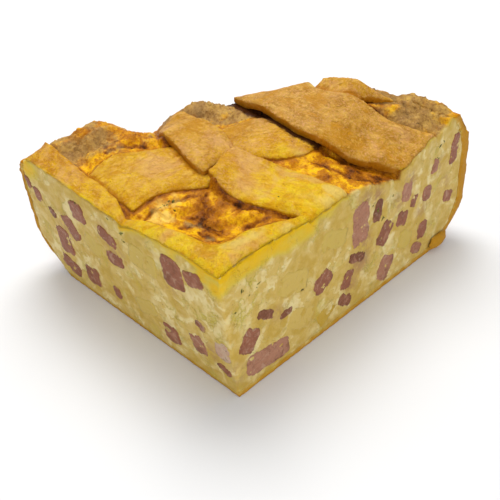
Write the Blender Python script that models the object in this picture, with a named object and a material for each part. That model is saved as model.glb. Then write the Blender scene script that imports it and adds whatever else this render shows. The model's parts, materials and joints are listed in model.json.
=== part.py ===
"""Block of pizza rustica: a deep savoury pie cut along two straight lines, with its outer crust behind.

Sizes are in millimetres from the front bottom corner of the block, where the two cut faces meet:
X runs along the right cut, Y along the left cut and Z up. Vertices are written in metres.
"""

import math
import random

import bmesh
import bpy
from mathutils import Matrix, Vector, noise

# Driving dimensions
MM = 0.001
HEIGHT = 50.0
PIE_RADIUS = 145.6
PIE_CENTRE = (-14.9, -54.9)
LEFT_CUT_LEAN = 5.15
RIGHT_CUT_LEAN = -3.09
WALL_BULGE = 6.6
FOOT_HEIGHT = 15.0
FOOT_TUCK = 14.6
FOOT_CURVE = 1.6
RIM_ROUNDING = 14.0
CRUST_BOTTOM = 1.8
CRUST_AT_LEFT = 1.8
CRUST_AT_RIGHT = 4.3
GAP = 0.3
STRIP_GAP = 0.65
CORNER_IN_FRAME = (-63.95, -45.41)

# Cells of the pie's top, and heights of the wall's rings above the foot
CELLS_RIGHT = 30
CELLS_LEFT = 24
WALL_RINGS = (3.5, 6.5, 10.0, 15.0, 27.0, 36.0, 41.0, 45.0, 50.0)
RING_SPACE = 0.5

# Heights of the filling's top at chosen spots: x, y, z
SPOTS_LEFT_CUT = (
    (0, 1, 44), (0, 13, 45), (0, 24, 44), (0, 33, 43), (0, 42, 41.5), (0, 52, 41.5), (0, 60, 42.5),
    (0, 68, 43.5), (0, 76, 43.5), (0, 84, 43.7), (0, 90, 45),
)
SPOTS_RIGHT_CUT = (
    (9, 0, 45.5), (18, 0, 45.5), (27, 0, 44.8), (35, 0, 44), (45, 0, 45), (54, 0, 45.5), (60, 1, 47.5),
    (66, 1, 45.5), (72, 1, 42.5), (79, 0, 39), (86, 0, 39.5), (95, 0, 42.7), (103, 0, 46.3), (110, 1, 49.5),
    (120, 1, 51.5),
)
SPOTS_UNDER_STRIPS = (
    (10, 60, 45.6), (11, 47, 45), (20, 56, 47.2), (21, 44, 45.5), (29, 57, 48.2), (31, 42, 46),
    (49, 76, 50.5), (41, 78, 46), (43, 66, 48.6), (44, 54, 47), (40, 36, 45.6), (40, 27, 47),
    (42, 19, 47.2), (46, 9, 46.2), (56, 49, 50), (63, 44, 51), (62, 35, 49.5), (59, 27, 46.5),
    (70, 60, 50.8), (72, 42, 48.4), (71, 31, 47.4), (80, 53, 51.5), (84, 61, 53), (86, 40, 49.8),
    (91, 46, 50.2), (93, 37, 50.2), (77, 19, 44.8), (90, 24, 48.2), (83, 9, 44), (96, 12, 48.5),
    (103, 34, 57), (101, 43, 57), (105, 28, 56.5), (111, 41, 58.5),
)
SPOTS_WINDOWS = (
    (13, 34, 44.6), (24, 30, 45), (27, 20, 44), (15, 19, 46), (29, 12, 44.6), (12, 76, 46.8),
    (13, 85, 51), (22, 70, 49.8), (24, 82, 54.5), (22, 93, 56), (32, 74, 52.4), (37, 76, 48),
    (56, 59, 49.6), (60, 68, 53.4), (66, 58, 52.2), (62, 16, 48), (68, 9, 45.6), (74, 8, 42.6),
    (106, 20, 55.2), (112, 16, 57.2), (108, 8, 51.4), (116, 7, 55.6), (122, 13, 59),
)

# Pastry strips of the lattice: thickness, and the plan of both edges from end to end
EDGE_STRIP = (
    3.6,
    ((0, 41.4), (0, 50), (0, 60), (0, 70), (0, 80), (0, 90.4)),
    ((3.5, 41.4), (7, 50), (8, 60), (8.2, 70), (8.4, 80), (8.5, 88.7)),
)
CORNER_STRIP = (
    4.3,
    ((0, 41), (0, 31), (0, 22), (0, 14), (0, 7), (0, 0), (7, 0), (14, 0), (22, 0), (30, 0), (37.6, 0)),
    ((3.5, 41), (6.5, 31), (7.5, 22), (8, 16.5), (9, 12.5), (11, 10.2), (13.5, 9), (18, 7.8), (24, 6.3),
     (30, 4.6), (36.4, 2.6)),
)
CROSS_STRIP = (
    2.8,
    ((8.9, 43), (14, 43), (20, 41.5), (27, 39), (34, 37), (42, 36), (50, 33), (57, 27), (64, 23.5), (72, 24),
     (80, 25), (88, 26.5), (95, 30), (107, 23)),
    ((8.9, 66.5), (14, 67.5), (20, 66), (27, 61.5), (34, 58), (42, 56), (50, 53), (57, 50.5), (64, 47.5),
     (72, 45.5), (80, 44.5), (86, 44), (91, 44.5), (95.8, 43.8)),
)
FAR_STRIP = (
    3.2,
    ((45, 75.6), (38.6, 68), (35, 60), (33.5, 52), (31.5, 44), (31, 37.5)),
    ((53, 74), (52.5, 65), (51, 56), (50, 48), (48, 42), (46.5, 37.5)),
)
NEAR_STRIP = (
    3.2,
    ((31, 36.9), (30, 30), (30, 24), (31, 17), (34, 9), (37.6, 4), (38.2, 0)),
    ((46.5, 36.9), (48.5, 29), (51.5, 22), (55, 14.5), (56.5, 7), (56.8, 3), (56.4, 0)),
)
WIDE_STRIP = (
    3.2,
    ((70, 63.4), (69.5, 57), (69, 48), (68.5, 39), (68.5, 31), (70.5, 24), (74, 16), (78.5, 8), (83.6, 0)),
    ((93, 47.6), (91, 42), (92.5, 36), (95, 30), (96, 24), (97, 18), (98.5, 11), (101, 6), (104, 0)),
)
STRIP_CELL = 3.4
STRIP_REACH = 2.0
STRIP_SLOPE = 9.0
EDGE_THINNING = 0.4

# Browned crags of the open filling and the rim
CRAG_HEIGHT = 1.5
CRAG_SIZE = 9.0
CRAG_MARGIN = 5.0
CRAG_LEVEL = 0.6

# Chunks on the cut faces: distance along the cut, height, length, width, tilt in degrees
HAM_LEFT = (
    (92, 37, 4, 2, 80), (87.5, 33.8, 5.6, 3.8, 80), (65.2, 37.5, 8, 6.5, 80), (80.7, 29.3, 4.2, 2, 70),
    (71, 27.7, 9.6, 5.5, 55), (77.4, 18.8, 12, 7.5, 85), (77.5, 7.5, 10, 6, 20), (64.8, 10, 8, 7.5, 85),
    (50.6, 34.6, 8.5, 5, 25), (48.7, 26.6, 8.5, 5, -5), (52, 10.2, 4.4, 3.2, 75), (20, 37.4, 12, 9, 85),
    (11, 40.4, 8, 5, -20), (25.6, 8.2, 7.5, 6.5, 80), (12.7, 12.4, 7, 6, 65), (10.7, 22.2, 3.7, 2, 35),
    (2, 9, 6, 2.2, 25), (2.2, 17, 7, 6, 85),
)
HAM_RIGHT = (
    (10.8, 19, 8, 7, 60), (19, 8, 20, 8, -8), (18, 24.4, 8, 2.4, -30), (26.8, 19.4, 5, 1.9, 0),
    (44.4, 21.2, 8.5, 6.5, 25), (56, 7, 7.5, 3.6, -30), (62, 21.2, 9, 3, -20), (63.5, 33.4, 15.6, 8.5, 90),
    (57, 15, 7, 4.5, 60), (77, 23.4, 9, 6.5, 55), (87, 24, 6.5, 5, -20), (77.8, 8.4, 9.5, 7.5, 60),
    (88.6, 34, 7, 5.5, 80), (93.2, 28.4, 4.4, 3.4, 70), (99.7, 13, 6.5, 5.5, 80), (115.3, 20.1, 6, 4, -20),
    (116.8, 38.8, 11.5, 4, 82), (105, 36.6, 5, 3, 80), (72.6, 34.4, 8, 4, 80), (101.2, 27.5, 5.5, 4.5, 80),
    (97, 6.4, 6.5, 4, -30),
)
CHEESE_LEFT = (
    (34, 34.4, 13.5, 9, 5), (60, 26.8, 9, 8, 15), (37, 13, 10.5, 6, -20),
)
CHEESE_RIGHT = (
    (31, 28.6, 12.5, 8, -15), (34, 13, 13, 7.5, -25), (50, 34.6, 13, 6.5, -15), (46, 7.4, 8, 6, 30),
    (89.6, 14, 7.5, 7, -25),
)
CHUNK_POINTS = 8
CHUNK_DEPTH = 8.0
CORNER_ZONE = 13.0
CORNER_DEPTH = 3.0
CHUNK_TAPER = 0.8
CHUNK_SQUARENESS = 0.35
CHUNK_EVENNESS = 0.84
POCKET_GAP = 0.42
POCKET_TAPER = 0.85
CUTTER_REACH = 1.0
CUTTER_TOP = 80.0
FOOT_LUMP_CENTRE = (110.0, -2.6, 3.4)
FOOT_LUMP_RADII = (6.5, 3.0, 3.4)
SEED = 11

# Colour, roughness
COLOURS = {
    "crust": ((0.47, 0.23, 0.05), 0.6),
    "filling": ((0.62, 0.51, 0.22), 0.45),
    "front_pastry": ((0.85, 0.45, 0.06), 0.35),
    "far_pastry": ((0.62, 0.33, 0.10), 0.6),
    "ham": ((0.34, 0.11, 0.09), 0.4),
    "cheese": ((0.56, 0.44, 0.14), 0.4),
}


def blend(low, high, share):
    """Value between low and high at a share from 0 to 1."""
    return low + (high - low) * share


def smooth_step(value):
    """Smooth ramp from 0 to 1."""
    value = min(max(value, 0.0), 1.0)
    return value * value * (3.0 - 2.0 * value)


def left_cut_x(z):
    """Place of the left cut face at a height."""
    return LEFT_CUT_LEAN * (1.0 - z / HEIGHT)


def right_cut_y(z):
    """Place of the right cut face at a height."""
    return RIGHT_CUT_LEAN * (1.0 - z / HEIGHT)


def wall_radius(z):
    """Outer radius of the crust wall: tucked in at the foot, full in the middle, rounded at the rim."""
    foot = max(0.0, 1.0 - z / FOOT_HEIGHT) ** FOOT_CURVE
    rim = min(max(0.0, (z - HEIGHT + RIM_ROUNDING) / RIM_ROUNDING), 1.0) ** 2
    return PIE_RADIUS + WALL_BULGE * (1.0 - rim) - FOOT_TUCK * foot


def arc_point(share, z, inset, spread):
    """Point on the wall, from the left cut at share 0 to the right cut at share 1."""
    centre_x, centre_y = PIE_CENTRE
    depths = [0.0, 0.0]
    if inset is not None:
        depths = [CRUST_AT_LEFT + inset, CRUST_AT_RIGHT + inset]
    radius_left = wall_radius(z) - depths[0]
    radius_right = wall_radius(z) - depths[1]
    angle_left = math.acos((left_cut_x(z) - spread - centre_x) / radius_left)
    angle_right = math.asin((right_cut_y(z) - spread - centre_y) / radius_right)
    angle = blend(angle_left, angle_right, share)
    radius = blend(radius_left, radius_right, share)
    return Vector((centre_x + radius * math.cos(angle), centre_y + radius * math.sin(angle)))


def plan_point(u, v, z, inset=None, spread=0.0):
    """Point of the block's plan at a height: u along the right cut, v along the left cut."""
    corner = Vector((left_cut_x(z) - spread, right_cut_y(z) - spread))
    right = arc_point(1.0, z, inset, spread)
    left = arc_point(0.0, z, inset, spread)
    middle = arc_point(0.5, z, inset, spread)
    near = corner.lerp(right, u)
    far = arc_point(0.5 * u, z, inset, spread)
    west = corner.lerp(left, v)
    east = arc_point(1.0 - 0.5 * v, z, inset, spread)
    sides = near * (1.0 - v) + far * v + west * (1.0 - u) + east * u
    corners = (corner * (1.0 - u) + right * u) * (1.0 - v) + (left * (1.0 - u) + middle * u) * v
    return sides - corners


def outline_distance(x, y, outline):
    """Distance from a point to a closed outline, negative inside it."""
    nearest = 1e9
    inside = False
    previous_x, previous_y = outline[-1]
    for corner_x, corner_y in outline:
        side_x = corner_x - previous_x
        side_y = corner_y - previous_y
        length = side_x * side_x + side_y * side_y
        share = ((x - previous_x) * side_x + (y - previous_y) * side_y) / length
        share = min(max(share, 0.0), 1.0)
        nearest = min(nearest, math.hypot(x - previous_x - share * side_x, y - previous_y - share * side_y))
        if (corner_y > y) != (previous_y > y):
            if x < previous_x + side_x * (y - previous_y) / side_y:
                inside = not inside
        previous_x, previous_y = corner_x, corner_y
    return -nearest if inside else nearest


def strip_outline(strip):
    """Closed plan outline of a strip."""
    return list(strip[1]) + list(reversed(strip[2]))


STRIPS = (EDGE_STRIP, CORNER_STRIP, CROSS_STRIP, FAR_STRIP, NEAR_STRIP, WIDE_STRIP)
SPOTS = SPOTS_LEFT_CUT + SPOTS_RIGHT_CUT + SPOTS_UNDER_STRIPS + SPOTS_WINDOWS
SPOT_SOFTNESS = 25.0


def smooth_height(x, y):
    """Height of the filling's top from the spot heights, without crags."""
    total = 0.0
    weights = 0.0
    for spot_x, spot_y, spot_z in SPOTS:
        weight = 1.0 / ((x - spot_x) ** 2 + (y - spot_y) ** 2 + SPOT_SOFTNESS) ** 2
        total += weight * spot_z
        weights += weight
    return total / weights


def filling_height(x, y):
    """Height of the filling's top, with browned crags in the windows of the lattice."""
    clear = min(outline_distance(x, y, strip_outline(strip)) for strip in STRIPS)
    height = smooth_height(x, y)
    if clear <= 0.0:
        return height
    crag = noise.turbulence(Vector((x / CRAG_SIZE, y / CRAG_SIZE, 1.7)), 2, False)
    return height + (crag - CRAG_LEVEL) * CRAG_HEIGHT * smooth_step(clear / CRAG_MARGIN)


def make_object(name, vertices, faces, material):
    """Mesh object from millimetre vertices, standing at the block's front corner."""
    mesh = bpy.data.meshes.new(name)
    mesh.from_pydata([[value * MM for value in vertex] for vertex in vertices], [], faces)
    outward = bmesh.new()
    outward.from_mesh(mesh)
    bmesh.ops.recalc_face_normals(outward, faces=outward.faces)
    outward.to_mesh(mesh)
    outward.free()
    made = bpy.data.objects.new(name, mesh)
    bpy.context.scene.collection.objects.link(made)
    made.location = (CORNER_IN_FRAME[0] * MM, CORNER_IN_FRAME[1] * MM, 0.0)
    if material is not None:
        mesh.materials.append(make_material(name, material))
    return made


def make_material(name, colour_name):
    """Plain material of one sub-part."""
    colour, roughness = COLOURS[colour_name]
    material = bpy.data.materials.new(name)
    material.use_nodes = True
    shader = material.node_tree.nodes["Principled BSDF"]
    shader.inputs["Base Color"].default_value = (*colour, 1.0)
    shader.inputs["Roughness"].default_value = roughness
    shader.inputs["Metallic"].default_value = 0.0
    material.diffuse_color = (*colour, 1.0)
    return material


def hide_cutter(cutter):
    """Marks an object as a cutter that isn't part of the pie."""
    cutter.hide_render = True
    cutter.display_type = "WIRE"


def pie_body(name, material, floor, top, inset=None, spread=0.0):
    """Closed body under the plan: a top of cells, a curved wall, two flat cuts and a flat bottom."""
    vertices = []
    faces = []
    columns = CELLS_LEFT + 1

    def top_index(i, j):
        return i * columns + j

    for i in range(CELLS_RIGHT + 1):
        for j in range(columns):
            u = i / CELLS_RIGHT
            v = j / CELLS_LEFT
            x, y = plan_point(u, v, HEIGHT, inset, spread)
            z = top(x, y)
            x, y = plan_point(u, v, z, inset, spread)
            vertices.append((x, y, z))
    for i in range(CELLS_RIGHT):
        for j in range(CELLS_LEFT):
            faces.append((top_index(i, j), top_index(i + 1, j), top_index(i + 1, j + 1), top_index(i, j + 1)))

    arc = [(i / CELLS_RIGHT, 1.0, top_index(i, CELLS_LEFT)) for i in range(CELLS_RIGHT)]
    arc += [(1.0, j / CELLS_LEFT, top_index(CELLS_RIGHT, j)) for j in range(CELLS_LEFT, -1, -1)]
    rings = (floor,) + WALL_RINGS
    levels = []
    for number, ring in enumerate(rings):
        level = []
        for u, v, top_corner in arc:
            highest = vertices[top_corner][2] - RING_SPACE * (len(rings) - number)
            z = min(ring, highest)
            x, y = plan_point(u, v, z, inset, spread)
            level.append(len(vertices))
            vertices.append((x, y, z))
        levels.append(level)
    levels.append([index for _, _, index in arc])
    for low, high in zip(levels, levels[1:]):
        for k in range(len(arc) - 1):
            faces.append((low[k], high[k], high[k + 1], low[k + 1]))

    x, y = plan_point(0.0, 0.0, floor, inset, spread)
    corner = len(vertices)
    vertices.append((x, y, floor))
    left_side = [level[0] for level in levels[:-1]]
    right_side = [level[-1] for level in levels[:-1]]
    left_top = [top_index(0, j) for j in range(columns)]
    right_top = [top_index(i, 0) for i in range(CELLS_RIGHT + 1)]
    faces.append([corner] + left_top + list(reversed(left_side)))
    faces.append([corner] + right_side + list(reversed(right_top)))
    faces.append([corner] + levels[0])
    return make_object(name, vertices, faces, material)


def cut(target, cutter, operation="DIFFERENCE"):
    """Adds an exact Boolean of one object."""
    modifier = target.modifiers.new(cutter.name, "BOOLEAN")
    modifier.operation = operation
    modifier.solver = "EXACT"
    modifier.object = cutter
    hide_cutter(cutter)


def build_crust():
    """Bottom and outer wall of crust: the pie's body with a foot lump, less the filling's space."""
    crust = pie_body("crust_shell", "crust", 0.0, filling_height)
    bpy.ops.mesh.primitive_ico_sphere_add(subdivisions=2, radius=1.0)
    lump = bpy.context.object
    lump.name = "foot_lump"
    lump.data.transform(Matrix.Diagonal((*[radius * MM for radius in FOOT_LUMP_RADII], 1.0)))
    lump.location = Vector((*CORNER_IN_FRAME, 0.0)) * MM + Vector(FOOT_LUMP_CENTRE) * MM
    cut(crust, lump, "UNION")
    space = pie_body("filling_space", None, CRUST_BOTTOM, lambda x, y: CUTTER_TOP, 0.0, GAP)
    cut(crust, space)


def build_filling(pockets):
    """Egg and cheese filling, with a pocket for each chunk on the cut faces."""
    filling = pie_body("filling", "filling", CRUST_BOTTOM + GAP, filling_height, GAP)
    modifier = filling.modifiers.new("pockets", "BOOLEAN")
    modifier.operation = "DIFFERENCE"
    modifier.solver = "EXACT"
    modifier.operand_type = "COLLECTION"
    modifier.collection = pockets


def along(points, share):
    """Point at a share of a list of points."""
    place = share * (len(points) - 1)
    first = min(int(place), len(points) - 2)
    return Vector(points[first]).lerp(Vector(points[first + 1]), place - first)


def strip_length(strip):
    """Length of a strip along its middle."""
    middles = [(Vector(a) + Vector(b)) * 0.5 for a, b in zip(strip[1], strip[2])]
    return sum((b - a).length for a, b in zip(middles, middles[1:]))


def support_height(x, y, below):
    """Height of what a strip lies on: the filling, and the strips below it with a slope beside them."""
    height = smooth_height(x, y) + STRIP_GAP
    for lower in below:
        away = outline_distance(x, y, strip_outline(lower))
        height += (lower[0] + STRIP_GAP) * smooth_step(1.0 - (away - STRIP_REACH) / STRIP_SLOPE)
    return height


def build_strip(name, material, strip, below=(), square=()):
    """Pastry strip laid over its support, thinner at its rounded edges and square where it is cut."""
    thickness, left, right = strip
    widths = [(Vector(a) - Vector(b)).length for a, b in zip(left, right)]
    rows = max(2, round(strip_length(strip) / STRIP_CELL))
    columns = max(3, round(max(widths) / STRIP_CELL))
    vertices = []
    for layer in (0.0, 1.0):
        for i in range(rows + 1):
            for j in range(columns + 1):
                s = i / rows
                t = j / columns
                x, y = along(left, s).lerp(along(right, s), t)
                edges = {"left": t, "right": 1.0 - t, "start": s, "end": 1.0 - s}
                rounded = any(place < 1e-6 and side not in square for side, place in edges.items())
                depth = thickness * (1.0 - EDGE_THINNING * rounded)
                z = support_height(x, y, below) + layer * depth
                x = left_cut_x(z) if x < 1e-6 else x
                y = right_cut_y(z) if y < 1e-6 else y
                vertices.append((x, y, z))
    count = (rows + 1) * (columns + 1)

    def index(i, j, layer):
        return layer * count + i * (columns + 1) + j

    faces = []
    for i in range(rows):
        for j in range(columns):
            ring = [(i, j), (i + 1, j), (i + 1, j + 1), (i, j + 1)]
            faces.append([index(*place, 0) for place in ring])
            faces.append([index(*place, 1) for place in reversed(ring)])
    border = [(i, 0) for i in range(rows)] + [(rows, j) for j in range(columns)]
    border += [(i, columns) for i in range(rows, 0, -1)] + [(0, j) for j in range(columns, 0, -1)]
    for here, there in zip(border, border[1:] + border[:1]):
        faces.append([index(*there, 0), index(*here, 0), index(*here, 1), index(*there, 1)])
    make_object(name, vertices, faces, material)


def chunk_outline(length, width, draw):
    """Uneven rounded block outline on a cut face."""
    points = []
    for k in range(CHUNK_POINTS):
        angle = 2.0 * math.pi * (k + 0.5) / CHUNK_POINTS
        reach = 0.5 * draw.uniform(CHUNK_EVENNESS, 1.0)
        x = math.copysign(abs(math.cos(angle)) ** CHUNK_SQUARENESS, math.cos(angle)) * length * reach
        z = math.copysign(abs(math.sin(angle)) ** CHUNK_SQUARENESS, math.sin(angle)) * width * reach
        points.append((x, z))
    return points


def prism(name, outline, grow, front, back, taper, material):
    """Closed prism of an outline in the XZ plane, from front to back along Y."""
    vertices = []
    for y, scale in ((front, 1.0), (back, taper)):
        for x, z in outline:
            stretch = 1.0 + grow / max(math.hypot(x, z), grow)
            vertices.append((x * stretch * scale, y, z * stretch * scale))
    count = len(outline)
    faces = [list(range(count)), [count + k for k in reversed(range(count))]]
    for k in range(count):
        after = (k + 1) % count
        faces.append([k, count + k, count + after, after])
    return make_object(name, vertices, faces, material)


def place_on_cut(piece, side, distance, height, tilt):
    """Sets a chunk on a cut face, its local Y pointing into the pie."""
    corner = Vector((*CORNER_IN_FRAME, 0.0))
    if side == "left":
        spot = Vector((left_cut_x(height), distance, height))
        lean = math.atan2(LEFT_CUT_LEAN, HEIGHT)
        turn = Matrix.Rotation(math.radians(-90.0), 4, "Z")
        turn_in_face = Matrix.Rotation(math.radians(tilt), 4, "Y")
    else:
        spot = Vector((distance, right_cut_y(height), height))
        lean = math.atan2(RIGHT_CUT_LEAN, HEIGHT)
        turn = Matrix.Identity(4)
        turn_in_face = Matrix.Rotation(math.radians(-tilt), 4, "Y")
    lean_back = Matrix.Rotation(lean, 4, "X")
    piece.matrix_world = Matrix.Translation((spot + corner) * MM) @ turn @ lean_back @ turn_in_face


def build_chunks(kind, side, places, draw, pockets):
    """Chunks on one cut face, each with a hidden cutter that makes its pocket in the filling."""
    for number, (distance, height, length, width, tilt) in enumerate(places, 1):
        name = f"{kind}_{side}_{number:02d}"
        outline = chunk_outline(length, width, draw)
        depth = min(CHUNK_DEPTH, 0.8 * min(length, width) + 1.0)
        if distance < CORNER_ZONE:
            depth = min(depth, CORNER_DEPTH)
        chunk = prism(name, outline, 0.0, 0.0, depth, CHUNK_TAPER, kind)
        cutter = prism(name + "_pocket", outline, POCKET_GAP, -CUTTER_REACH, depth + GAP, POCKET_TAPER, None)
        bpy.context.scene.collection.objects.unlink(cutter)
        pockets.objects.link(cutter)
        hide_cutter(cutter)
        place_on_cut(chunk, side, distance, height, tilt)
        place_on_cut(cutter, side, distance, height, tilt)


def shade(names):
    """Smooth shading on the rounded pieces, with the cut edges kept sharp."""
    for name in names:
        mesh = bpy.data.objects[name].data
        mesh.shade_smooth()
        mesh.set_sharp_from_angle(angle=math.radians(40.0))


def main():
    """Removes what the file holds and builds the block."""
    for old in list(bpy.data.objects):
        bpy.data.objects.remove(old)
    pockets = bpy.data.collections.new("pockets")
    bpy.context.scene.collection.children.link(pockets)
    draw = random.Random(SEED)
    build_crust()
    build_filling(pockets)
    build_chunks("ham", "left", HAM_LEFT, draw, pockets)
    build_chunks("ham", "right", HAM_RIGHT, draw, pockets)
    build_chunks("cheese", "left", CHEESE_LEFT, draw, pockets)
    build_chunks("cheese", "right", CHEESE_RIGHT, draw, pockets)
    build_strip("strip_edge", "front_pastry", EDGE_STRIP, square=("left",))
    build_strip("strip_corner", "front_pastry", CORNER_STRIP, square=("left", "end"))
    build_strip("strip_cross", "far_pastry", CROSS_STRIP)
    build_strip("strip_far", "far_pastry", FAR_STRIP, (CROSS_STRIP,))
    build_strip("strip_near", "front_pastry", NEAR_STRIP, (CROSS_STRIP,), ("end",))
    build_strip("strip_wide", "far_pastry", WIDE_STRIP, (CROSS_STRIP,), ("end",))
    shade(("crust_shell", "filling", "strip_edge", "strip_corner", "strip_cross", "strip_far", "strip_near",
           "strip_wide"))


main()
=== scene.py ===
"""Dresses a cut block of deep savoury pie: crust, filling, pastry strips, ham, cheese, herbs and the stage.

Places on the block are in millimetres from its front bottom corner, where the two cut faces meet:
X runs along the right cut, Y along the left cut and Z up.
"""

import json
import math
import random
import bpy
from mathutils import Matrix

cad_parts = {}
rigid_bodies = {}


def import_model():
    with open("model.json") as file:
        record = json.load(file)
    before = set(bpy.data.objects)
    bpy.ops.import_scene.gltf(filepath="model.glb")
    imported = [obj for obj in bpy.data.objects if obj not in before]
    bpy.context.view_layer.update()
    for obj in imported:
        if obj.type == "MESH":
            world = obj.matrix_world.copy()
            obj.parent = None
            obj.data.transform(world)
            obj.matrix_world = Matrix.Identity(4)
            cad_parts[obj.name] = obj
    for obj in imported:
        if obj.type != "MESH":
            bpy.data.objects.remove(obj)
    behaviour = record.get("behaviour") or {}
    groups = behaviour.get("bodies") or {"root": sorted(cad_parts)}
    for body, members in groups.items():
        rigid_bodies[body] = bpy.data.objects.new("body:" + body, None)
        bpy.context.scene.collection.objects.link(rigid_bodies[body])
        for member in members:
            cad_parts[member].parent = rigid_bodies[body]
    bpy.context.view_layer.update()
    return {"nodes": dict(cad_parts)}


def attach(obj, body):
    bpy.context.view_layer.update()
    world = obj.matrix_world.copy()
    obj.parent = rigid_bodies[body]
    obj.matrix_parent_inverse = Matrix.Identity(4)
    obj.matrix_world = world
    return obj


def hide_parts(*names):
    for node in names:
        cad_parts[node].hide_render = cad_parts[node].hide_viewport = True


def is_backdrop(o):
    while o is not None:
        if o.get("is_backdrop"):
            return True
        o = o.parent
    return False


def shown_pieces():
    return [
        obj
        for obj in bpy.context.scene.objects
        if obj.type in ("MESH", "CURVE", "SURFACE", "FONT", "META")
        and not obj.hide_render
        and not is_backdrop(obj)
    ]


bl_info = {
    "name": "Pizza Rustica Block",
    "version": (1, 0, 0),
    "blender": (4, 5, 0),
    "location": "3D View > Sidebar > Pie",
    "description": "Models and finishes a cut block of deep savoury pie",
    "category": "Add Mesh",
}

import bpy
import numpy as np
from bpy.props import FloatProperty, FloatVectorProperty, PointerProperty
from mathutils import Matrix, Vector, noise
from mathutils.kdtree import KDTree

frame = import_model()

MM = 0.001
SHEEN = 0.07
BODY = "root"
CORNER = Vector((-63.95, -45.41, 0.0))
HEIGHT = 50.0
LEFT_CUT_LEAN = 5.15
RIGHT_CUT_LEAN = -3.09
PIE_CENTRE = (-14.9, -54.9)
# Starts of the noise that moves the soft places and of the flecks' draws, the same in each run
NOISE_SEED = 5
FLECK_SEED = 7
# Depths behind a cut between which its finish fades
CUT_BAND = (0.5, 1.2)
# Share of the top above which a place counts as seen from above
SEEN = 0.05
# Steps of weight in a vertex group
WEIGHT_STEPS = 20
# Above this height the strips and the browned top are found
TOP_ZONE = 30.0
# A distance beyond all others
FAR_AWAY = 1e9
# Points of the filling this near to a strip in plan lie below it, and stay this far below its top
BELOW_STRIP = 0.8
# Depth over which the filling's rise below the strips fades
RISE_DEPTH = 7.0
# Reach of the filling's rise beside the near strip's left edge, and freedom left of the wide strip's edge
NEAR_EDGE_REACH = 1.7
WIDE_EDGE_SPARE = 2.0
# Share of the glaze's reach on the left cut, where it is thinner
LEFT_GLAZE = 0.42
# Growth of a plug into its pocket, and how far it stays behind the cut
PLUG_GROWTH = 0.9
PLUG_SEAT = 0.03

STRIPS = {
    # node: visible name, slot, golden tone at its start and end (0 tan, 1 orange gold, 2 bright yellow)
    "strip_edge": ("pastry_edge_strip", "front_pastry", 0.9, 1.5),
    "strip_corner": ("pastry_corner_strip", "front_pastry", 2.0, 2.0),
    "strip_cross": ("pastry_cross_strip", "far_pastry", 1.4, 0.5),
    "strip_far": ("pastry_far_strip", "far_pastry", 0.35, 0.55),
    "strip_near": ("pastry_near_strip", "front_pastry", 1.0, 2.4),
    "strip_wide": ("pastry_wide_strip", "far_pastry", 0.1, 0.25),
}

# How the filling meets each strip, in millimetres: depth below the strip's top at the cut and in the open,
# how far the rise reaches, how much the strip's top sinks towards the cut, and reach and strength of the
# glaze below
MEETINGS = {
    "strip_edge": (1.2, 1.2, 3.2, 0.5, 1.6, 0.6),
    "strip_corner": (1.1, 1.0, 4.5, 1.0, 4.6, 1.0),
    "strip_near": (1.5, 1.2, 3.0, 0.6, 2.4, 0.8),
    "strip_cross": (1.5, 0.9, 4.0, 0.0, 1.0, 0.3),
    "strip_far": (3.0, 2.3, 2.0, 0.0, 1.0, 0.0),
    "strip_wide": (1.2, 1.3, 2.6, 0.3, 1.2, 0.5),
}
# Way that each strip runs, in degrees from the right cut
STRIP_ANGLES = {
    "strip_edge": 90.0, "strip_corner": 0.0, "strip_cross": -18.0, "strip_far": 100.0, "strip_near": 105.0,
    "strip_wide": 107.0,
}
# The near strip's left edge: its y and x
NEAR_EDGE = ((4, 9, 17, 24, 30, 37), (37.6, 34, 31, 30, 30, 31))
# Hollow of the rim behind the far strip's end: x, y, reach, depth
RIM_HOLLOW = (43.5, 78.5, 7.0, 6.5)
# The wide strip's left edge, where a dark hollow stays open: its y and x
WIDE_EDGE = ((0, 8, 16, 24, 31, 39, 48, 57, 63), (83.6, 78.5, 74, 70.5, 68.5, 68.5, 69, 69.5, 70))

# Soft round places of the strips: x, y, radius, strength. They are pale, toasted, more golden or less so
# The pale places on the corner, near and wide strips are painted highlights of the glossy egg wash.
STRIP_PLACES = {
    "strip_edge": {},
    "strip_corner": {
        "pale": ((11, 7, 2.6, 0.8), (14, 5, 3, 0.95), (18, 4.5, 3.5, 0.85), (23, 3.5, 3, 0.6),
                 (29, 1.5, 3, 0.9)),
        "less": ((4, 9, 6, 0.25),),
    },
    "strip_cross": {
        "pale": ((61.5, 25, 1.8, 0.6),), "more": ((57, 29, 6, 0.9), (60, 24, 5, 0.9)),
        "less": ((60, 46, 9, 0.8), (60, 38, 6, 0.5)),
    },
    "strip_far": {"pale": ((33, 40, 1.6, 0.5),), "toast": ((46, 66, 5, 0.25), (44, 58, 5, 0.2))},
    "strip_near": {
        "pale": ((53, 3, 3.2, 1.2), (56, 2, 3, 1.2), (48, 1.5, 3.5, 1.0), (45, 6, 4, 0.4),
                 (33.5, 35.5, 1.5, 0.7)),
    },
    "strip_wide": {
        "pale": ((91, 40, 2.5, 0.7), (91.5, 44, 2.2, 0.75), (91, 36, 2.2, 0.6), (92, 31, 2, 0.45)),
        "toast": ((99, 50, 4.5, 0.55), (96, 52, 4, 0.5)),
    },
}

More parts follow.
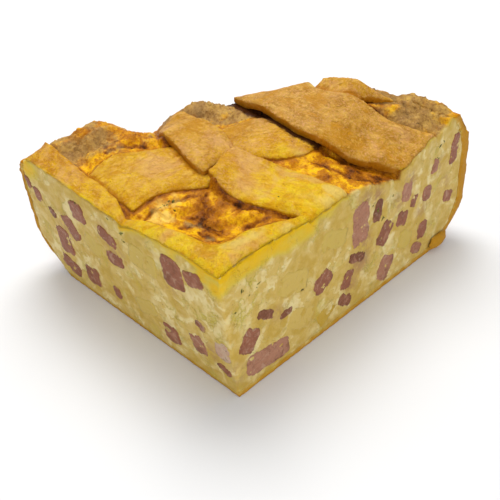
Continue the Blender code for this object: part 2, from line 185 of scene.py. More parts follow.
# Soft round places on the browned top: x, y, radius, strength
BROWN_PLACES = (
    (20, 26, 4.5, 0.9), (18, 21, 4.5, 1.0), (17, 18, 3.5, 0.8), (28, 25, 4, 0.85), (30, 20, 4, 1.0),
    (35, 20, 3.5, 0.8), (12, 16, 3, 0.7), (30, 10, 3, 0.55), (34, 8, 3, 0.6), (24, 22, 3, 0.6),
    (22, 31, 3, 0.5), (70, 8, 5, 0.8), (76, 3, 4.5, 1.0), (80, 0, 4.5, 1.0), (66, 18, 3.5, 0.8),
    (73, 16, 4, 0.9), (72, 10, 4, 0.9), (60, 12, 3, 0.7), (63, 9, 3, 0.6), (66, 4, 3, 0.5),
    (18, 79, 13, 0.42), (30, 74, 10, 0.42), (22, 93, 6, 1.0), (29, 94, 6, 1.1), (35, 93, 5, 0.8),
    (14, 91, 4, 0.7), (51, 62, 3.5, 0.9), (49, 54, 3, 0.7), (46, 74, 6, 0.9), (55, 66, 3, 0.9),
    (104, 13, 4, 0.6), (95, 19, 4, 0.9),
)
GREY_PLACES = (
    (20, 76, 8, 0.8), (12, 80, 8, 0.9), (13, 87, 5, 0.8), (37, 87, 5, 1.0), (38, 82, 5, 1.0),
    (24, 84, 4, 0.7), (57, 70, 9, 1.0), (60, 64, 8, 1.0), (64, 55, 5, 1.0), (59, 56, 5, 0.8),
    (66, 52, 4, 0.9), (66, 62, 8, 0.9), (71, 57, 5, 0.9), (52, 74, 7, 0.9), (100, 12, 8, 1.0),
    (108, 10, 9, 1.0), (112, 18, 9, 1.0), (105, 24, 7, 0.9), (14.5, 26, 2.6, 0.75), (12.3, 16, 2.4, 0.7),
    (15, 23, 2.2, 0.6), (108, 3, 6, 0.8), (114, 6, 5, 0.8),
)
PALE_PLACES = (
    (10, 36.2, 3.0, 0.85), (13, 34, 3.2, 0.9), (14, 38.6, 3.0, 0.8), (18, 36, 3.0, 0.7),
    (20, 38.4, 2.6, 0.55), (9, 31.5, 2.6, 0.6), (62, 29, 3.0, 0.8), (100, 26, 1.4, 0.8),
    (102, 20, 2.2, 0.45), (108, 15, 2.6, 0.4),
)
GOLD_PLACES = (
    (5.5, 37, 4, 0.9), (8, 26, 4.5, 1.0), (9.3, 21, 3, 0.8), (24, 18.5, 3.5, 0.8), (27, 15.5, 3, 0.8),
    (21, 14.5, 2.5, 0.7), (19.5, 35.5, 3, 0.8), (13.4, 34.9, 1.6, 1.0), (70, 31, 4, 0.9), (66, 23, 4, 0.9),
    (62, 5, 4, 0.8), (64, 14, 2.6, 0.9), (68, 13, 2.2, 0.8), (58, 18, 3.5, 0.9), (61, 24, 4, 0.9),
    (50, 54, 3.5, 0.9), (16, 70, 4, 0.6), (6, 72, 4, 0.5), (110, 26, 3, 0.6), (99, 18, 2, 0.7),
)
# Folds of the browned top: points, height and half width
FOLDS = (
    (((15, 74), (19, 73), (23, 71), (31, 70), (35, 64)), 1.6, 1.8),
    (((14, 79), (20, 79.5), (27, 78), (33, 74), (38, 70)), 1.0, 1.8),
    (((17, 81.5), (22, 81), (27, 80)), -1.0, 1.5),
    (((22, 20), (26, 17), (29, 14)), 0.9, 1.4),
    (((10, 30), (9, 25), (10, 20)), 0.8, 1.8),
    (((17, 24), (20, 20), (18, 16)), -0.9, 1.5),
    (((13.4, 34.9), (13.5, 34.8)), 0.9, 1.3),
    (((52, 77), (56, 73), (60, 70)), 2.4, 4.0),
    (((28, 33), (27, 27), (27.5, 21), (29, 15), (32, 9)), 2.6, 5.0),
    (((12, 39), (17, 38), (22, 35)), 0.9, 4.0),
)
# Creases of the browned top, sunk and painted brown as browning and painted shade: points, half width,
# strength
# The crease along the wide strip's left edge paints that strip's shadow.
CREASES = (
    (((20, 72.5), (23.7, 72.1), (29.6, 71.5), (33.9, 68.9), (37.3, 65.3)), 0.8, 0.6),
    (((19, 70.5), (22.9, 69.8), (26.5, 67.9), (30.7, 64.3)), 0.7, 0.66),
    (((14, 89), (20, 90.5), (25, 91), (30, 90.5)), 2.4, 0.85),
    (((12.1, 26.1), (17.6, 25.5), (18.7, 19)), 1.5, 0.72),
    (((13.4, 20.3), (12.9, 12.4), (17.1, 11.4)), 1.2, 0.66),
    (((28.8, 21.1), (30.3, 17.2), (35, 16.2)), 1.3, 0.75),
    (((26.8, 33.6), (23.5, 29), (20.3, 26.8)), 2.4, 0.5),
    (((24.2, 12.5), (31.4, 9.3), (35.4, 6.5)), 1.0, 0.62),
    (((2, 37), (8, 38.4), (14, 38.6), (20, 36.5), (26, 32.5)), 0.9, 0.6),
    (((64.7, 19.3), (65, 13.7), (66.6, 8.5), (71, 1), (74.2, -2)), 1.5, 0.68),
    (((70.1, 33.6), (69.9, 28.1), (69.7, 23.6)), 1.4, 0.7),
    (((71, 24), (73, 17), (77, 9), (81, 1)), 1.8, 0.5),
    (((96.7, 24.2), (98.4, 20.3), (96.3, 12.1), (97.5, 8.9), (99.5, 3)), 1.2, 0.75),
    (((104, 22), (106, 16), (104, 10)), 0.8, 0.6), (((51, 62), (52, 58), (54, 55)), 1.3, 0.8),
    (((47, 75), (51, 74.5), (53, 77)), 2.6, 0.8), (((120, 12), (122, 6), (122, -1)), 1.2, 0.75),
)
# Glaze that ran down the left cut: distance along the cut, height, radius, strength
GLAZE_RUNS = ((92, 43.5, 4.5, 1.0), (88, 43.5, 3.5, 0.7), (2, 42.5, 3.2, 0.9))
# Crumbly curds and smooth custard of the cuts: distance along the right cut or, below zero, the left one,
# height, radius, strength
CURD_PLACES = (
    (12, 37, 6, 1.0), (18, 35, 5, 0.9), (8, 30, 5, 0.7), (24, 38, 4, 0.7), (-12, 30, 6, 0.9),
    (-22, 20, 7, 0.8), (-30, 26, 5, 0.7), (-5, 30, 5, 0.9), (38, 20, 5, 0.6), (66, 12, 5, 0.7),
    (-70, 36, 6, 0.6), (-45, 20, 5, 0.7),
)
SMOOTH_PLACES = (
    (31, 28.6, 8, 1.0), (34, 13, 8, 1.0), (48, 33, 9, 1.0), (42, 36, 6, 0.9), (-34, 34.4, 8, 1.0),
    (-60, 26.8, 7, 1.0), (-37, 13, 8, 1.0), (-28, 31, 5, 0.7), (90, 14, 6, 0.8), (-52, 18, 6, 0.7),
)
# Ham juice on the cuts, placed in the same way
STAIN_PLACES = (
    (66, 26, 4, 0.5), (64, 19, 5, 0.6), (59, 12, 4, 0.4), (72, 40, 3.5, 0.6), (66, 41, 4, 0.5),
    (84, 32, 4, 0.4), (90, 38, 3, 0.6), (98, 22, 3, 0.4), (112, 27, 3, 0.5), (24, 22, 3, 0.4),
    (4, 9, 4, 0.5), (-8, 13, 4, 0.4), (-26, 10, 3, 0.35), (-48, 30, 4, 0.4), (-52, 37, 3, 0.4),
    (-75, 27, 4, 0.35), (-22, 31, 3, 0.4), (108, 36, 3, 0.4),
)

# Tone of each chunk of ham, from -1 dark to 1 light
HAM_TONES = {
    "left": (0, 0, 0, -0.6, 0, 0.1, 0, 0, -0.2, 0, 0, 0.1, 0.1, 0, 0.4, -0.3, -0.2, 1.8),
    "right": (0.1, 0.6, -0.6, -0.5, -0.1, -0.4, -0.7, 0.55, -0.2, -0.3, 0, 0.5, 0.6, 0.1, 0.1, 0, 0.1, 0.4,
              -0.7, 0.3, 0.4),
}
CHEESE_TONES = {"left": (0.3, 0.1, 0.4), "right": (0.5, 0.7, 0.2, -0.6, 0.2)}

# Herb flecks and pepper dots on the cuts: distance along the cut, height, size
LEFT_FLECKS = (
    (43, 40.6, 2.2), (42, 38.6, 1.6), (65, 41, 1.4), (49, 43, 1.6), (57, 40.5, 1.2), (20, 41.4, 1.3),
)
RIGHT_FLECKS = (
    (70, 38, 1.6), (75, 30, 2.2), (107, 43, 2.0), (110, 44, 1.6), (101, 41, 1.2), (73, 35, 2.4),
    (9, 38, 2.0), (15, 37, 1.6), (12, 35.6, 1.4), (80, 36.5, 1.5), (6, 33, 1.5), (106, 39.5, 1.8),
    (96.5, 17.6, 1.3), (3, 38.4, 0.9), (7, 36.5, 0.9), (11, 33.6, 0.8), (14, 39, 0.9), (18, 33, 0.8),
    (5, 35, 0.8), (9, 40, 0.9),
)
LEFT_PEPPER = ((27, 33), (28, 20), (30, 25), (31, 36), (24, 28), (17, 30), (35, 22), (50, 20), (14, 24))
RIGHT_PEPPER = (
    (18, 29), (5, 36), (47, 32), (33, 35), (64, 27), (25, 33), (12, 29), (71, 18), (53, 28), (84, 28),
)
TOP_FLECKS = ((15.4, 38.6, 1.9), (17.4, 37.8, 1.9), (13.2, 38.6, 1.2), (18.6, 35.6, 1.1))
TOP_SPECKS = ((38, 12, 1.0), (35.5, 36.4, 1.2), (15, 34, 1.7), (97, 14, 0.8), (104, 8, 0.9), (64, 30, 0.7))

# Floor, camera and lights, in metres and degrees: each light's place and size
FLOOR_SIZE = 60.0
FLOOR_DROP = 0.0001
CAMERA_PLACE = (-0.18385, -0.17143, 0.19039)
CAMERA_TURN = (90.0 - 37.4, -0.16, -46.36)
KEY_LIGHT = ((0.18, 0.28, 0.66), 0.5)
FILL_LIGHT = ((-0.42, -0.6, 0.4), 0.6)


def linear(red, green, blue):
    """Scene colour of an everyday colour from 0 to 255."""
    parts = [value / 255.0 for value in (red, green, blue)]
    return tuple(p / 12.92 if p <= 0.04045 else ((p + 0.055) / 1.055) ** 2.4 for p in parts)


def rgba(colour):
    """A colour with full alpha."""
    return (*colour, 1.0)


def colour_setting(name, description, red, green, blue):
    """A colour that the sidebar shows."""
    return FloatVectorProperty(name=name, description=description, subtype="COLOR", size=3, min=0.0, max=1.0,
                               default=linear(red, green, blue))


def length_setting(name, description, millimetres):
    """A length that the sidebar shows, in metres."""
    return FloatProperty(name=name, description=description, unit="LENGTH", subtype="DISTANCE", min=0.0,
                         precision=5, default=millimetres * MM)


class PieSizes(bpy.types.PropertyGroup):
    """Sizes of the block's detail."""

    filling_cell: length_setting("Filling cell", "Cell of the filling's surface", 1.0)
    crust_cell: length_setting("Crust cell", "Cell of the crust's surface", 0.85)
    strip_cell: length_setting("Strip cell", "Cell of the strips' surface", 0.6)
    chunk_cell: length_setting("Chunk cell", "Cell of a chunk's surface", 0.5)
    crag_height: length_setting("Crag height", "Relief of the browned top", 1.5)
    rise: length_setting("Rise", "How far the open filling rises beside the strips", 0.9)
    rim_lap: length_setting("Rim lap", "How far the browned skin spreads over the crust", 1.5)
    wrinkle_height: length_setting("Wrinkle height", "Fine relief of the browned top", 0.95)
    curd_height: length_setting("Curd height", "Relief of the cut faces", 0.45)
    dough_wave: length_setting("Dough wave", "Slow waves of the strips", 0.7)
    strip_seat: length_setting("Strip seat", "How far a strip sinks into the filling", 1.1)
    chunk_growth: length_setting("Chunk growth", "How far a chunk grows into its pocket's gap", 0.8)
    chunk_stand: length_setting("Chunk stand", "How far a chunk stands out of the cut", 0.07)


class PieColours(bpy.types.PropertyGroup):
    """Colours of the block."""

    tan: colour_setting("Tan pastry", "Matt strips at the back", 222, 166, 70)
    tan_deep: colour_setting("Deep tan", "Blotches of the matt strips", 184, 128, 38)
    tan_freckle: colour_setting("Tan freckle", "Freckles of the matt strips", 238, 178, 116)
    gold: colour_setting("Golden pastry", "Egg-washed strips", 244, 186, 26)
    gold_deep: colour_setting("Deep gold", "Blotches of the egg-washed strips", 212, 144, 8)
    yellow: colour_setting("Yellow pastry", "Glossy strip at the front corner", 255, 214, 36)
    yellow_deep: colour_setting("Deep yellow", "Blotches of the glossy strip", 246, 184, 12)
    melted: colour_setting("Melted glaze", "Egg glaze that ran down the cut", 228, 180, 14)
    pastry_light: colour_setting("Light streak", "Light streaks of the strips", 252, 202, 98)
    # Pale egg, and the painted highlights on the strips' glossy egg wash
    cream_and_highlight: colour_setting("Cream", "Pale spots of egg", 250, 213, 108)
    skin_light: colour_setting("Light skin", "Least browned filling", 252, 194, 14)
    skin_brown: colour_setting("Brown skin", "Browned filling", 196, 124, 10)
    skin_red: colour_setting("Red-brown skin", "Deeply browned filling", 132, 70, 4)
    # Darkest browning, and the colour of the painted shadow beside the wide strip
    skin_dark_and_shadow: colour_setting("Dark skin", "Darkest browning", 66, 32, 4)
    skin_grey: colour_setting("Grey skin", "Puffed skin of egg", 186, 148, 84)
    skin_grey_deep: colour_setting("Deep grey skin", "Hollows of the puffed skin", 138, 104, 56)
    curd: colour_setting("Curd", "Light curds of the cut", 207, 176, 95)
    custard: colour_setting("Custard", "Yellow custard of the cut", 194, 160, 70)
    white_curd: colour_setting("White curd", "Whitest curds of the cut", 232, 214, 156)
    green_custard: colour_setting("Herb custard", "Custard tinted by herbs", 196, 176, 74)
    glaze_pale: colour_setting("Pale glaze", "Egg glaze where it fades into the cut", 214, 188, 58)
    stain: colour_setting("Ham juice", "Where ham tinted the custard", 164, 122, 84)
    # Colour of the painted shade in the cut's small hollows
    hollow: colour_setting("Hollow", "Small hollows of the cut", 164, 132, 56)
    crust: colour_setting("Crust", "Outer crust", 176, 122, 32)
    crust_deep: colour_setting("Deep crust", "Browned outer crust", 134, 84, 20)
    crust_cut: colour_setting("Cut crust", "Crust at the cut", 192, 138, 36)
    ham: colour_setting("Ham", "Cured ham", 148, 92, 68)
    ham_light: colour_setting("Light ham", "Light ham", 186, 136, 108)
    ham_pale: colour_setting("Pale ham", "Fat of the ham", 206, 178, 150)
    ham_dark: colour_setting("Dark ham", "Dark ham", 112, 68, 44)
    cheese: colour_setting("Cheese", "Smooth cheese", 200, 172, 82)
    cheese_deep: colour_setting("Deep cheese", "Deep yellow cheese", 190, 148, 34)
    herb: colour_setting("Herb", "Parsley", 76, 76, 32)
    pepper: colour_setting("Pepper", "Pepper and burnt specks", 52, 36, 22)


class StageSettings(bpy.types.PropertyGroup):
    """Floor, lights and camera."""

    floor: colour_setting("Floor", "Pale floor", 226, 226, 226)
    world: colour_setting("Sky", "Soft light all round", 236, 238, 242)
    world_strength: FloatProperty(name="Sky strength", description="Light all round", default=0.62)
    key_power: FloatProperty(name="Key power", description="Main light", unit="POWER", default=4.9)
    fill_power: FloatProperty(name="Fill power", description="Fill light", unit="POWER", default=2.2)
    focal_length: FloatProperty(name="Focal length", description="Lens in millimetres", default=60.566)


# Meshes


def deselect():
    """Deselects everything."""
    bpy.ops.object.select_all(action="DESELECT")


def activate(piece):
    """Selects one piece alone."""
    deselect()
    piece.select_set(True)
    bpy.context.view_layer.objects.active = piece


def merged_copy(node, name):
    """New piece from a merged copy of a CAD node's mesh."""
    mesh = frame["nodes"][node].data.copy()
    mesh.name = name
    mesh.materials.clear()
    piece = bpy.data.objects.new(name, mesh)
    bpy.context.scene.collection.objects.link(piece)
    activate(piece)
    bpy.ops.object.mode_set(mode="EDIT")
    bpy.ops.mesh.select_all(action="SELECT")
    bpy.ops.mesh.remove_doubles(threshold=1e-6)
    bpy.ops.object.mode_set(mode="OBJECT")
    return piece


def finish_modifier(piece, kind, name, **settings):
    """Adds a modifier with its settings and applies it."""
    activate(piece)
    modifier = piece.modifiers.new(name, kind)
    for key, value in settings.items():
        setattr(modifier, key, value)
    bpy.ops.object.modifier_apply(modifier=modifier.name)


def remesh(piece, cell):
    """Even cells all over a piece."""
    finish_modifier(piece, "REMESH", "cells", mode="VOXEL", voxel_size=cell, use_smooth_shade=True)


def relief(piece, name, size, height, group="", hard=False, depth=2, middle=0.5):
    """Cloudy relief along the normals, within a vertex group."""
    texture = bpy.data.textures.new(name, "CLOUDS")
    texture.noise_scale = size * MM
    texture.noise_depth = depth
    texture.noise_type = "HARD_NOISE" if hard else "SOFT_NOISE"
    finish_modifier(piece, "DISPLACE", name, texture=texture, texture_coords="LOCAL", strength=height,
                    mid_level=middle, vertex_group=group)
    bpy.data.textures.remove(texture)


def on_block(piece):
    """Vertex places in millimetres from the block's front bottom corner."""
    flat = np.empty(len(piece.data.vertices) * 3, np.float32)
    piece.data.vertices.foreach_get("co", flat)
    return flat.reshape(-1, 3).astype(float) / MM - np.array(CORNER)


def put_on_block(piece, places):
    """Moves the vertices to places in millimetres from the block's front bottom corner."""
    moved = (places + np.array(CORNER)) * MM
    piece.data.vertices.foreach_set("co", moved.astype(np.float32).ravel())
    piece.data.update()


def vertex_normals(piece):
    """Vertex normals."""
    flat = np.empty(len(piece.data.vertices) * 3, np.float32)
    piece.data.vertex_normals.foreach_get("vector", flat)
    return flat.reshape(-1, 3).astype(float)


def mark(piece, name, values):
    """Keeps one value a vertex, for the material."""
    attribute = piece.data.attributes.new(name, "FLOAT", "POINT")
    attribute.data.foreach_set("value", np.asarray(values, np.float32))


def mark_vector(piece, name, values):
    """Keeps one vector a vertex, for the material."""
    attribute = piece.data.attributes.new(name, "FLOAT_VECTOR", "POINT")
    attribute.data.foreach_set("vector", np.asarray(values, np.float32).ravel())


def group(piece, name, weights):
    """Vertex group from one weight a vertex."""
    made = piece.vertex_groups.new(name=name)
    steps = np.round(np.clip(weights, 0.0, 1.0) * WEIGHT_STEPS).astype(int)
    for number in range(1, WEIGHT_STEPS + 1):
        chosen = np.nonzero(steps == number)[0]
        if len(chosen):
            made.add(chosen.tolist(), number / WEIGHT_STEPS, "REPLACE")
    return made.name


def ramp(values, low, high):
    """Smooth ramp from 0 at low to 1 at high."""
    share = np.clip((values - low) / np.maximum(high - low, 1e-9), 0.0, 1.0)
    return share * share * (3.0 - 2.0 * share)


def fall(values, low, high):
    """Smooth fall from 1 at low to 0 at high."""
    return 1.0 - ramp(values, low, high)


def noise_at(places, size, shift=0.0):
    """Noise from -1 to 1 at places in millimetres."""
    return np.array([noise.noise(Vector(p)) for p in places / size + shift])


def warped(places, size, reach):
    """Places moved about by noise, so that a soft round place gets an uneven edge."""
    noise.seed_set(NOISE_SEED)
    moves = np.array([noise.noise_vector(Vector(p))[:] for p in places / size])
    return places + moves * reach


def in_places(places, spots):
    """How strongly each point lies in one of some soft round places."""
    most = np.zeros(len(places))
    for x, y, radius, strength in spots:
        away = ((places[:, 0] - x) ** 2 + (places[:, 1] - y) ** 2) / radius ** 2
        most = np.maximum(most, strength * np.exp(-away))
    return most


def near_line(flat, points, width):
    """How near each place in plan is to a line of points, from 1 on it to 0 well beyond its half width."""
    away = np.full(len(flat), FAR_AWAY)
    for start, end in zip(points, points[1:]):
        start, end = np.array(start, float), np.array(end, float)
        share = np.clip((flat - start) @ (end - start) / ((end - start) @ (end - start)), 0.0, 1.0)
        away = np.minimum(away, np.linalg.norm(flat - start - share[:, None] * (end - start), axis=1))
    return np.exp(-(away / width) ** 2)


def sink_rim(places):
    """Sinks the rim's hollow behind the far strip's end."""
    x, y, reach, depth = RIM_HOLLOW
    away = np.hypot(places[:, 0] - x, places[:, 1] - y)
    places[:, 2] -= depth * np.exp(-(away / reach) ** 2) * ramp(places[:, 2], 28.0, 44.0)


def left_depth(places):
    """Depth behind the left cut face."""
    return places[:, 0] - LEFT_CUT_LEAN * (1.0 - places[:, 2] / HEIGHT)


def right_depth(places):
    """Depth behind the right cut face."""
    return places[:, 1] - RIGHT_CUT_LEAN * (1.0 - places[:, 2] / HEIGHT)


def cut_depth(places):
    """Depth behind the nearer cut face."""
    return np.minimum(left_depth(places), right_depth(places))


def at_cuts(places, on_top):
    """How much each place lies on a cut face and not on top."""
    return fall(cut_depth(places), *CUT_BAND) * (1.0 - on_top)


def distance_between(places, points):
    """Distance from each place to the nearest of some points."""
    tree = KDTree(len(points))
    for index, point in enumerate(points):
        tree.insert(point, index)
    tree.balance()
    return np.array([tree.find(Vector(place))[2] for place in places])


def distance_to(places, pieces):
    """Distance in millimetres from each place to the nearest vertex of some pieces."""
    return distance_between(places, np.concatenate([on_block(piece) for piece in pieces]))


def plan_tree(places, chosen):
    """Search tree, seen from above, of the chosen ones of some places."""
    tree = KDTree(len(chosen))
    for index in chosen:
        tree.insert((places[index, 0], places[index, 1], 0.0), int(index))
    tree.balance()
    return tree


def strip_piece(node):
    """The visible piece of a strip."""
    return bpy.data.objects[STRIPS[node][0]]


# Materials


def add(tree, kind, inputs=None, **settings):
    """New node with its settings and inputs, which are values or the sockets that feed them."""
    node = tree.nodes.new("ShaderNode" + kind)
    for key, value in settings.items():
        setattr(node, key, value)
    for socket, value in (inputs or {}).items():
        if isinstance(value, bpy.types.NodeSocket):
            tree.links.new(value, node.inputs[socket])
        else:
            node.inputs[socket].default_value = value
    return node


def calculate(tree, operation, *values):
    """Math node's value."""
    return add(tree, "Math", dict(enumerate(values)), operation=operation).outputs[0]


def mixed(tree, share, first, second):
    """Colour between two others, which are sockets or plain colours."""
    first, second = (c if isinstance(c, bpy.types.NodeSocket) else rgba(c) for c in (first, second))
    return add(tree, "Mix", {0: share, 6: first, 7: second}, data_type="RGBA").outputs[2]


def between(tree, share, first, second):
    """Value between two others."""
    return add(tree, "Mix", {0: share, 2: first, 3: second}, data_type="FLOAT").outputs[0]


def step(tree, value, low, high, to_low=0.0, to_high=1.0):
    """Smooth step of a value."""
    inputs = {"Value": value, "From Min": low, "From Max": high, "To Min": to_low, "To Max": to_high}
    return add(tree, "MapRange", inputs, interpolation_type="SMOOTHSTEP").outputs["Result"]


def tinted(tree, colour, tint, most, value, low, high):
    """Colour that takes on a tint, up to the most, as a value goes from low to high."""
    return mixed(tree, step(tree, value, low, high, 0.0, most), colour, tint)


def cloud(tree, vector, scale, detail=3.0, roughness=0.55, distortion=0.0, kind="FBM"):
    """Noise value."""
    inputs = {"Vector": vector, "Scale": scale, "Detail": detail, "Roughness": roughness,
              "Distortion": distortion}
    return add(tree, "TexNoise", inputs, noise_type=kind).outputs["Fac"]


def attribute(tree, name):
    """Value kept on the vertices."""
    return add(tree, "Attribute", attribute_name=name).outputs["Fac"]


def new_group(name, inputs, outputs):
    """Empty shader node group with its sockets, and its input and output nodes."""
    tree = bpy.data.node_groups.new(name, "ShaderNodeTree")
    for socket, kind in inputs:
        tree.interface.new_socket(name=socket, in_out="INPUT", socket_type="NodeSocket" + kind)
    for socket, kind in outputs:
        tree.interface.new_socket(name=socket, in_out="OUTPUT", socket_type="NodeSocket" + kind)
    return tree, tree.nodes.new("NodeGroupInput").outputs, tree.nodes.new("NodeGroupOutput")


def finish_group(tree, output, results):
    """Links a group's results."""
    for socket, value in results.items():
        tree.links.new(value, output.inputs[socket])


def use_group(tree, name, inputs):
    """Places a shared group."""
    return add(tree, "Group", inputs, node_tree=bpy.data.node_groups[name]).outputs


def use_mottle(tree, vector, blotch_scale, freckle_scale):
    """Places the baked mottle."""
    scales = {"Blotch Scale": blotch_scale, "Freckle Scale": freckle_scale}
    return use_group(tree, "Baked Mottle", {"Vector": vector, **scales})


def use_browned_skin(tree, vector):
    """Places the browned skin, led by the marks on the vertices."""
    marks = {socket: attribute(tree, socket.lower()) for socket in ("Brown", "Grey", "Pale", "Dark")}
    return use_group(tree, "Browned Skin", {"Vector": vector, **marks})


def build_mottle_group():
    """Blotches, freckles and grain of baked dough and egg."""
    tree, given, output = new_group(
        "Baked Mottle",
        (("Vector", "Vector"), ("Blotch Scale", "Float"), ("Freckle Scale", "Float")),
        (("Blotch", "Float"), ("Freckle", "Float"), ("Height", "Float")),
    )
    blotch = cloud(tree, given["Vector"], given["Blotch Scale"], 7.0, 0.7, 0.5)
    freckle = cloud(tree, given["Vector"], given["Freckle Scale"], 4.0, 0.75, 0.4)
    grain = calculate(tree, "MULTIPLY", given["Freckle Scale"], 2.6)
    fine = cloud(tree, given["Vector"], grain, 2.0, 0.6)
    height = calculate(tree, "MULTIPLY_ADD", freckle, 0.6, calculate(tree, "MULTIPLY", fine, 0.4))
    finish_group(tree, output, {
        "Blotch": step(tree, blotch, 0.38, 0.62),
        "Freckle": step(tree, freckle, 0.48, 0.62),
        "Height": calculate(tree, "MULTIPLY_ADD", blotch, 0.8, height),
    })


def build_skin_group(colours):
    """Browned top of the filling."""
    tree, given, output = new_group(
        "Browned Skin",
        (("Vector", "Vector"), ("Brown", "Float"), ("Grey", "Float"), ("Pale", "Float"), ("Dark", "Float")),
        (("Color", "Color"), ("Roughness", "Float"), ("Height", "Float")),
    )
    mottle = use_mottle(tree, given["Vector"], 260.0, 1000.0)
    wrinkle = cloud(tree, given["Vector"], 300.0, 6.0, 0.65, 0.9, "RIDGED_MULTIFRACTAL")
    wrinkle = step(tree, wrinkle, 0.3, 1.0)
    depth = calculate(tree, "MULTIPLY_ADD", mottle["Blotch"], 0.3, given["Brown"])
    # Less brown on the wrinkles' ridges: partly paler baked egg and partly a painted highlight on the raised
    # parts
    depth = calculate(tree, "SUBTRACT", depth, calculate(tree, "MULTIPLY", wrinkle, 0.38))
    depth = calculate(tree, "MULTIPLY_ADD", mottle["Freckle"], 0.14, depth)
    browned = add(tree, "ValToRGB", {"Fac": depth})
    stops = browned.color_ramp.elements
    stops[0].position, stops[0].color = 0.12, rgba(colours.skin_light)
    stops[1].position, stops[1].color = 1.0, rgba(colours.skin_dark_and_shadow)
    for place, colour in ((0.42, colours.skin_brown), (0.78, colours.skin_red)):
        stop = stops.new(place)
        stop.color = rgba(colour)
    grey_share = calculate(tree, "MULTIPLY_ADD", mottle["Freckle"], 0.6, calculate(
        tree, "MULTIPLY", mottle["Blotch"], 0.6))
    grey = mixed(tree, grey_share, colours.skin_grey, colours.skin_grey_deep)
    soft = cloud(tree, given["Vector"], 330.0, 4.0, 0.55)
    uneven = calculate(tree, "MULTIPLY_ADD", soft, 1.1, -0.55)
    greyed = step(tree, calculate(tree, "ADD", given["Grey"], uneven), 0.25, 0.75, 0.0, 0.85)
    colour = mixed(tree, greyed, browned.outputs["Color"], grey)
    paled = step(tree, calculate(tree, "SUBTRACT", given["Pale"], uneven), 0.25, 0.95, 0.0, 0.8)
    colour = mixed(tree, paled, colour, colours.cream_and_highlight)
    # Painted shadow beside the wide strip's left edge, from the Dark mark, partly deep browning
    painted_shadow = step(tree, calculate(tree, "MULTIPLY_ADD", uneven, 0.6, given["Dark"]), 0.2, 0.9)
    shade = mixed(tree, step(tree, wrinkle, 0.3, 0.7), colours.skin_dark_and_shadow, colours.skin_red)
    colour = mixed(tree, painted_shadow, colour, shade)
    height = calculate(tree, "MULTIPLY_ADD", wrinkle, 0.8, mottle["Height"])
    finish_group(tree, output, {
        "Color": colour,
        "Roughness": step(tree, mottle["Freckle"], 0.0, 1.0, 0.3, 0.55),
        "Height": height,
    })


def build_curd_group(colours):
    """Curds and custard of the cut filling, with painted shade in its small hollows."""
    tree, given, output = new_group(
        "Cut Curds",
        (("Vector", "Vector"), ("Glaze", "Float"), ("Curdled", "Float"), ("Stain", "Float")),
        (("Color", "Color"), ("Height", "Float")),
    )
    vector = given["Vector"]
    patch = cloud(tree, vector, 110.0, 3.0, 0.5, 0.8)
    mottling = cloud(tree, vector, 260.0, 4.0, 0.55, 0.4)
    fine = cloud(tree, vector, 1300.0, 3.0, 0.65)
    tint = cloud(tree, vector, 150.0, 3.0, 0.55, 0.6)
    curdled = step(tree, calculate(tree, "MULTIPLY_ADD", given["Curdled"], 0.16, patch), 0.43, 0.55)
    smooth = mixed(tree, step(tree, mottling, 0.36, 0.64), colours.custard, colours.curd)
    waver = {"Vector": vector, "Scale": 420.0, "Detail": 3.0, "Roughness": 0.6}
    sway = add(tree, "TexNoise", waver).outputs["Color"]
    sway = add(tree, "VectorMath", {0: sway, 1: (0.5, 0.5, 0.5)}, operation="SUBTRACT").outputs["Vector"]
    sway = add(tree, "VectorMath", {0: sway, "Scale": 0.006}, operation="SCALE").outputs["Vector"]
    swayed = add(tree, "VectorMath", {0: vector, 1: sway}, operation="ADD").outputs["Vector"]
    curds = {"Vector": swayed, "Scale": 270.0, "Randomness": 1.0}
    cells = add(tree, "TexVoronoi", curds).outputs
    seams = add(tree, "TexVoronoi", curds, feature="DISTANCE_TO_EDGE").outputs
    whiteness = calculate(tree, "MULTIPLY", cells["Color"], 0.5)
    whiteness = calculate(tree, "MULTIPLY_ADD", mottling, 0.8, whiteness)
    lumps = mixed(tree, step(tree, whiteness, 0.5, 0.9, 0.0, 0.85), colours.curd, colours.white_curd)
    seam = step(tree, seams["Distance"], 0.13, 0.02)
    seam = calculate(tree, "MULTIPLY", seam, step(tree, tint, 0.44, 0.6))
    crumbly = step(tree, given["Curdled"], 0.0, 0.8, 0.3, 0.9)
    lumps = mixed(tree, calculate(tree, "MULTIPLY", seam, crumbly), lumps, colours.green_custard)
    # Painted shade in the small hollows: the lowest parts of the seams take the hollow colour
    low = calculate(tree, "MULTIPLY", seam, step(tree, mottling, 0.47, 0.36))
    lumps = mixed(tree, calculate(tree, "MULTIPLY", low, crumbly), lumps, colours.hollow)
    cut = mixed(tree, curdled, smooth, lumps)
    cut = tinted(tree, cut, colours.green_custard, 0.45, tint, 0.56, 0.7)
    # Painted shade: the low spots of the fine grain are darker
    cut = tinted(tree, cut, colours.hollow, 0.3, fine, 0.4, 0.3)
    cut = tinted(tree, cut, colours.white_curd, 0.22, fine, 0.58, 0.75)
    blot = cloud(tree, vector, 240.0, 5.0, 0.65, 0.7)
    stained = calculate(tree, "MULTIPLY", given["Stain"], step(tree, blot, 0.4, 0.56, 0.0, 1.5))
    cut = mixed(tree, stained, cut, colours.stain)
    cut = tinted(tree, cut, colours.glaze_pale, 0.75, given["Glaze"], 0.0, 0.5)
    cut = tinted(tree, cut, colours.melted, 0.95, given["Glaze"], 0.25, 0.9)
    height = calculate(tree, "MULTIPLY_ADD", fine, 0.25, mottling)
    height = calculate(tree, "SUBTRACT", height, calculate(tree, "MULTIPLY", calculate(
        tree, "MULTIPLY", seam, curdled), 0.5))
    finish_group(tree, output, {"Color": cut, "Height": calculate(tree, "MULTIPLY", height, 0.6)})


def new_material(name):
    """Material with its shader and object coordinates."""
    material = bpy.data.materials.new(name)
    material.use_nodes = True
    tree = material.node_tree
    shader = tree.nodes["Principled BSDF"]
    vector = add(tree, "TexCoord").outputs["Object"]
    return material, tree, shader, vector


